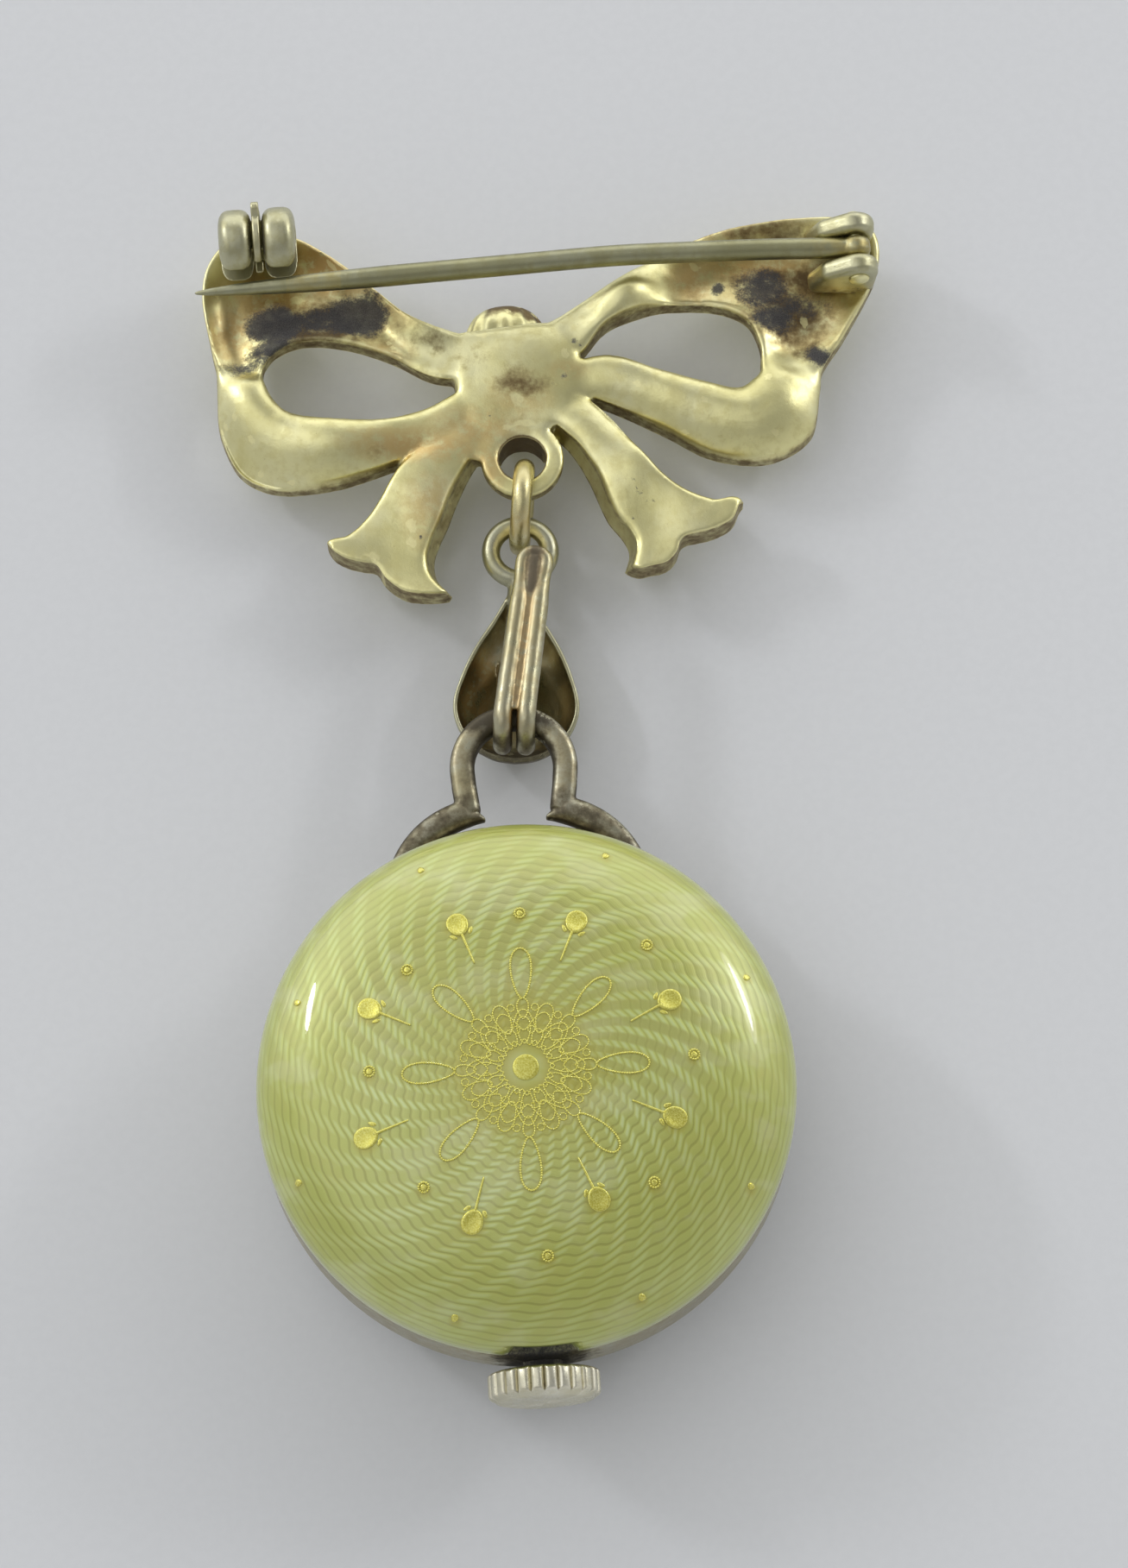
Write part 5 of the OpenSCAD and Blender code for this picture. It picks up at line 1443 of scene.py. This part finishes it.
def gold_tint(points):
    """How much the enamel is tinted by gold under and beside it, with a painted shadow just below each bud and
    dot.
    """
    px, py, _ = points.T
    r = np.hypot(px, py)
    total = ramp(r, 3.7, 2.9) * ramp(r, 0.7, 1.0) * 0.62
    # Halos round the buds and dots sit a little low: gold tint with a painted shadow below
    for spots, size, strength in ((BUDS, 0.85, 0.85), (DOTS, 0.5, 0.8), (RIM_DOTS, 0.34, 0.7)):
        for angle, far in spots:
            x, y = spot(angle, far)
            total = most(total, strength * ramp(np.hypot(px - x, py - y + 0.12), size, 0.45 * size))
    for angle in LOOPS:
        along, across, _ = turned(points, WATCH_TURN - angle).T
        d = np.hypot((along - 4.6) / 1.25, across / 0.62)
        total = most(total, 0.4 * ramp(np.abs(d - 1), 0.32, 0.0))
    return total


def lace():
    """The netted rosette: waved and looped lines of beading that cross each other."""
    parts = []
    wire = 0.05
    for middle, swing, waves, phase in ((2.30, 0.50, 8, 0), (2.30, 0.50, 8, 180), (1.22, 0.14, 16, 0)):
        line = []
        for k in range(261):
            a = 360 * k / 260
            r = middle + swing * math.cos(math.radians(waves * (a - LOOPS[0] + WATCH_TURN) + phase))
            line.append(on_dome(*polar(r, math.radians(a))))
        parts.append(beaded(line, wire))
    for loop in LOOPS:
        for offset, near, far, half in ((0.0, 1.15, 2.45, 0.40), (22.5, 1.75, 3.25, 0.46), (0.0, 2.35, 3.35, 0.34),
                                        (22.5, 1.10, 1.95, 0.30)):
            parts.append(beaded(petal(loop - WATCH_TURN + offset, near, far, half), wire))
        for offset, r in ((11.2, 2.95), (33.8, 2.95), (11.2, 1.85), (33.8, 1.85)):
            parts.append(beaded(ringlet(*spot(loop + offset, r), 0.17, 21), 0.042))
    return parts


def stalk(k, angle, far):
    """A stalk that leans a little, its bud, and two leaves at its neck."""
    way = angle - WATCH_TURN
    lean = 0.16 * math.sin(k * 2.1 + 0.5)
    line = [on_dome(*facing(way, q, lean * (far - q) / 2), 0.01) for q in np.linspace(far - 2.15, far - 0.4, 14)]
    parts = [sweep(line, [0.045 + 0.03 * j / 13 for j in range(14)], sides=8), bud(*spot(angle, far), way)]
    for side in (-1, 1):
        place = polar(far - 0.5, math.radians(way) + side * 0.062)
        parts.append(leaf(*place, way + side * 42, 0.42, 0.2, 0.045))
    return parts


def paillons(material):
    """Gold ornament in the enamel: rosette, loops, budded stalks and small dots."""
    parts = lace()
    for k, (angle, far) in enumerate(BUDS):
        parts += stalk(k, angle, far)
    parts += [beaded(petal(angle - WATCH_TURN, 3.35, 5.85, 0.62), 0.068) for angle in LOOPS]
    for angle, far in DOTS:
        parts.append(beaded(ringlet(*spot(angle, far), 0.24, 25), 0.08))
        parts.append(leaf(*spot(angle, far), 0, 0.34, 0.34, 0.05))
    parts += [leaf(*spot(angle, far), 0, 0.36, 0.34, 0.05) for angle, far in RIM_DOTS]
    around = np.linspace(0, 2 * math.pi, 49)[:-1]
    button = [(0.63, -0.03), (0.62, 0.025), (0.585, 0.045), (0.40, 0.045), (0.1, 0.046)]
    parts.append(loft([[on_dome(*polar(q, a), h) for a in around] for q, h in button]))
    points, faces = joined(parts)
    return new_object("paillons", in_watch(points), faces, material)


# ---------------------------------------------------------------- bail, case and crown

def arch_path():
    """Middle line of the bail, from one inner barb over the arch to the other."""
    arch_y = CASE_R + BAIL_REACH
    leg_end = CASE_R + FOOT_GAP + 0.55 * FOOT_T
    leg = [(0.9 * BAIL_R, leg_end - 0.35, STEM_Z), (0.97 * BAIL_R, (arch_y + leg_end) / 2, STEM_Z)]
    arch = [polar(BAIL_R, math.radians(a)) for a in range(0, 181, 6)]
    return leg + [(x, arch_y + y, STEM_Z) for x, y in arch] + [(-x, y, z) for x, y, z in reversed(leg)]


def crescent(side):
    """A foot: a barb inside the leg, full under it, and a tip on the case. It thins to both ends."""
    first, last, steps = 6.1, 28.0, 36
    rings = []
    for i in range(steps + 1):
        s = i / steps
        t = math.radians(first + (last - first) * s)
        away = np.array([math.sin(t), math.cos(t)])
        inner = away * (CASE_R + FOOT_GAP - (FOOT_GAP + 0.19 * FOOT_T) * s ** 1.3)
        outer = away * (CASE_R + FOOT_GAP + FOOT_T - (FOOT_GAP + 0.7 * FOOT_T) * s ** 2.3
                        - 0.86 * FOOT_T * (1 - min(s / 0.2, 1)) ** 1.15)
        rise = 0.5 * FOOT_H * min(1, 0.5 + 3.0 * s) * (1 - 0.4 * s ** 3)
        ring = []
        for b in turns(36):
            x, y = (inner + outer) / 2 + signed_power(math.cos(b), 0.85) * (outer - inner) / 2
            ring.append((side * x, y, STEM_Z + rise * signed_power(math.sin(b), 0.85)))
        rings.append(ring)
    return loft(rings)


def bail(metal):
    """The horseshoe bail with its two crescent feet."""
    arch = sweep(rounded_path(arch_path(), step=0.09, soft=0.3), BAIL_WIRE_R, sides=32, power=3.0, flat=0.96)
    points, faces = fused([arch, crescent(1), crescent(-1)], voxel=0.06, smooth=7)
    obj = new_object("bail_detail", in_watch(points), faces, metal)
    x, y, _ = points.T
    # Tarnished all over and darker on the feet; painted shade on the side walls and the arch's inner wall, and a
    # painted shadow on the arch under the hook
    side = share(np.abs(normals_of(obj.data)[:, 2]), 0.6, -0.4)
    inner = share(np.hypot(x, y - CASE_R - BAIL_REACH), BAIL_R - 0.15, -0.3)
    shadow_under_hook = share(y, CASE_R + BAIL_REACH + 1.6, 0.6)
    feet = ramp(y, CASE_R + FOOT_GAP + FOOT_T + 0.3, CASE_R + FOOT_GAP + FOOT_T - 0.4)
    wear(obj, 0.40 + 0.22 * feet + 0.35 * side + 0.3 * inner + 0.45 * shadow_under_hook, 0.3, 0.30 * side * inner)
    return obj


def case_band(metal):
    """The plain band with eased edges, and the neck for the crown."""
    r, z0, b, inner = CASE_R, CASE_Z, 0.12, CASE_R - CASE_WALL
    profile = [(inner, z0), (r - b - 0.08, z0), (r - b, z0 + 0.06)]
    profile += [(r - b + b * math.sin(math.pi / 2 * t), z0 + 0.06 + 0.94 * t) for t in (0.2, 0.4, 0.6, 0.8, 1.0)]
    profile += [(r, z0 + 2.2), (r, z0 + 3.1)]
    profile += [(r - b * t * t, z0 + 3.1 + 0.84 * t) for t in (0.25, 0.5, 0.75, 1.0)]
    profile += [(r - b - 0.06, BACK_Z), (inner, BACK_Z), (inner, z0 + 2)]
    tube = [(0.49, 0.0), (0.9, 0.0), (0.945, 0.05), (0.945, 1.05), (0.90, 1.12), (0.49, 1.12)]
    neck = moved(lathe(tube, segments=64, close=True), lambda p: turned(
        p[:, [0, 2, 1]] * (1, -1, 1) + (0, 0.72 - CASE_R, STEM_Z), CROWN_SIDE))
    points, faces = joined([lathe(profile, segments=256, close=True), neck])
    points = in_watch(points)
    obj = new_object("case_detail", points, faces, metal, sharp=40)
    # Painted shade, dark and nearly black, on the band beside the crown
    shade_near_crown = share(np.hypot(points[:, 0] - CROWN[0], points[:, 1] - CROWN[1]), 4.0, -4.0)
    wear(obj, 0.22 + 0.6 * shade_near_crown, 0.3, 0.7 * shade_near_crown)
    return obj


def crown(metal):
    """Fluted rim, eased at both ends, and a low domed cap."""
    around = turns(FLUTES * 16)
    rings = []
    for z, s in ((0.0, 0.90), (0.05, 0.955), (0.12, 0.99), (0.2, 1.0), (0.6, 1.0), (CROWN_LEN - 0.2, 1.0),
                 (CROWN_LEN - 0.12, 0.99), (CROWN_LEN - 0.05, 0.965), (CROWN_LEN, 0.925)):
        ring = []
        for a in around:
            fluted = CROWN_R - FLUTE_DEPTH * max(1 - abs(math.sin(FLUTES * a / 2)), 0) ** 1.9
            ring.append((*polar(min(fluted, CROWN_R * s), a), z))
        rings.append(ring)
    for r, z in ((0.905, 0.03), (0.86, 0.14), (0.75, 0.20), (0.6, 0.225), (0.4, 0.24), (0.2, 0.248), (0.02, 0.25)):
        rings.append([(*polar(CROWN_R * r, a), CROWN_LEN + z) for a in around])
    p, f = loft(rings)
    points, faces = moved((p, f), in_crown)
    obj = new_object("crown_detail", points, faces, metal, sharp=55)
    groove = share(np.hypot(p[:, 0], p[:, 1]), CROWN_R - 0.05, -0.15) * (p[:, 2] < CROWN_LEN - 0.02)
    wear(obj, 0.5 * groove, 0.2 * groove, 0.0)
    return obj


# ---------------------------------------------------------------- dial side

def printed(text, x, y, z):
    """An hour number on the dial, read from below."""
    curve = bpy.data.curves.new("mark", "FONT")
    curve.body = text
    curve.size = HOUR_SIZE * MM
    curve.align_x = "CENTER"
    curve.align_y = "CENTER"
    curve.extrude = 0.01 * MM
    obj = linked("mark", curve)
    bpy.context.view_layer.update()
    p, f = evaluated(obj)
    bpy.data.objects.remove(obj)
    bpy.data.curves.remove(curve)
    return p / MM * (-1, 1, 1) + (x, y, z), [tuple(reversed(face)) for face in f]


def dial_marks(material):
    """Plain hour numbers and a ring of minute marks."""
    z = DIAL_Z - 0.012
    parts = []
    for h in range(1, 13):
        y, x = polar(HOUR_R, math.radians(30 * h))
        parts.append(printed(str(h), -x, y, z))
    for m in range(60):
        w, length = (0.16, 0.62) if m % 5 == 0 else (0.07, 0.42)
        low = MINUTE_R - length
        corners = [(-w / 2, low), (w / 2, low), (w / 2, MINUTE_R), (-w / 2, MINUTE_R)]
        parts.append(prism([facing(6 * m, x, y) for x, y in corners], z - 0.01, z + 0.01))
    points, faces = joined(parts)
    return new_object("dial_marks", in_watch(points), faces, material, smooth=False)


# ---------------------------------------------------------------- put together

MATERIALS = {"enamel": enamel, "foil": foil, "crystal_glass": glass, "dial_white": dial_white,
             "dial_ink": dial_ink, "blued_steel": blued_steel}
made = {}


def material(name):
    """The material of a name, made when it is first asked for."""
    if name not in made:
        made[name] = worn_metal(name) if name in METALS else MATERIALS[name]()
    return made[name]


# What makes each piece, its material, its body, the CAD node that it stands for, and its slot
PIECES = [(bow, "gilt", "jewel", "bow", "gilt"),
          (ears, "catch_metal", "jewel", None, "gilt"),
          (catch, "catch_metal", "jewel", None, "gilt"),
          (rivet, "gilt", "jewel", "hinge_rivet", "gilt"),
          (pin, "pin_metal", "pin", "pin_stem", "gilt"),
          (lever, "catch_metal", "lever", "catch_lever", "gilt"),
          (jump_ring, "bright_gilt", "jewel", "jump_ring", "gilt"),
          (drop_and_hook, "hook_silver", "jewel", "drop_hook", "silver"),
          (case_band, "old_silver", "jewel", "watch_case", "silver"),
          (bail, "old_silver", "jewel", None, "silver"),
          (enamel_back, "enamel", "jewel", "enamel_back", "enamel"),
          (paillons, "foil", "jewel", None, "gilt"),
          (crown, "crown_silver", "crown", "crown", "silver"),
          (dial_marks, "dial_ink", "jewel", None, "dial")]
# CAD nodes that keep their shape and get a better material
KEPT = {"bezel": "old_silver", "crystal": "crystal_glass", "dial": "dial_white", "movement": "movement_brass",
        "winding_stem": "steel", "hour_hand": "blued_steel", "minute_hand": "blued_steel"}


def build():
    """Every piece on its body, and better materials on the CAD nodes that stay."""
    for make, look, body, node, slot in PIECES:
        piece = make(material(look))
        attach(piece, body)
        if node:
            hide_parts(node)
    for node, look in KEPT.items():
        mesh = frame["nodes"][node].data
        mesh.materials.clear()
        mesh.materials.append(material(look))


def floor():
    """Pale paper just under the jewel."""
    s = FLOOR_HALF
    mesh = as_mesh("floor", [(-s, -s, 0), (s, -s, 0), (s, s, 0), (-s, s, 0)], [(0, 1, 2, 3)])
    obj = finish_object("floor", mesh, paper_floor(), smooth=False)
    obj.location.z = FLOOR_Z


def lamp(name, direction, along, size, power, colour):
    """A soft oval panel that faces the jewel from a direction, its second size lying along a line."""
    data = bpy.data.lights.new(name, "AREA")
    data.shape = "ELLIPSE"
    data.size, data.size_y = size
    data.energy = power
    data.color = colour
    obj = linked(name, data)
    d = Vector(direction).normalized()
    obj.location = Vector(AIM) + d * LAMP_DISTANCE
    up = Vector(along)
    up = (up - up.dot(d) * d).normalized()
    obj.rotation_euler = Matrix((up.cross(d), up, d)).transposed().to_euler()


def lights():
    """Lamps to both sides behind the jewel, a bright wall low behind it, and a dimmer room over it."""
    for each in LAMPS:
        lamp(*each)
    world = bpy.data.worlds.new("studio")
    bpy.context.scene.world = world
    world.use_nodes = True
    w = Nodes(world.node_tree)
    around = w.add("ShaderNodeTexCoord").outputs["Generated"]
    _, y, z = w.add("ShaderNodeSeparateXYZ", {0: around}).outputs[:3]
    # By height, from 0 at the horizon to 1 overhead, and by how far behind the jewel
    room = w.band(z, 0.3, 0.95, ROOM_LOW, ROOM_HIGH)
    wall = w.times(w.band(z, 0.62, 0.76, WALL, 0.0), w.band(y, 0.0, 0.7))
    towards = w.vector("DOT_PRODUCT", around, tuple(Vector(PATCH_AT).normalized())).outputs["Value"]
    edge, full = (math.cos(math.radians(a)) for a in (PATCH_EDGE, PATCH_FULL))
    total = w.math("ADD", w.math("ADD", room, wall), w.band(towards, edge, full, 0.0, PATCH))
    background = world.node_tree.nodes["Background"]
    w.tree.links.new(total, background.inputs["Strength"])
    background.inputs["Color"].default_value = (*ROOM_COLOUR, 1)


def camera():
    """The photograph's view: nearly from above, a little from the watch's end."""
    data = bpy.data.cameras.new("camera")
    obj = linked("camera", data)
    data.sensor_fit = "VERTICAL"
    data.sensor_height = SENSOR
    data.lens = LENS
    data.clip_start = 0.01
    data.clip_end = 5.0
    right, forwards = CAMERA_FROM_EYE
    obj.location = Vector((EYE[0] + right, EYE[1] + forwards, CAMERA_Z)) * MM
    down = math.radians(CAMERA_DOWN)
    look = Vector((0, math.cos(down), -math.sin(down)))
    obj.rotation_euler = look.to_track_quat("-Z", "Y").to_euler()
    bpy.context.scene.camera = obj


bpy.context.scene.view_settings.view_transform = "Standard"
camera()
build()
floor()
lights()
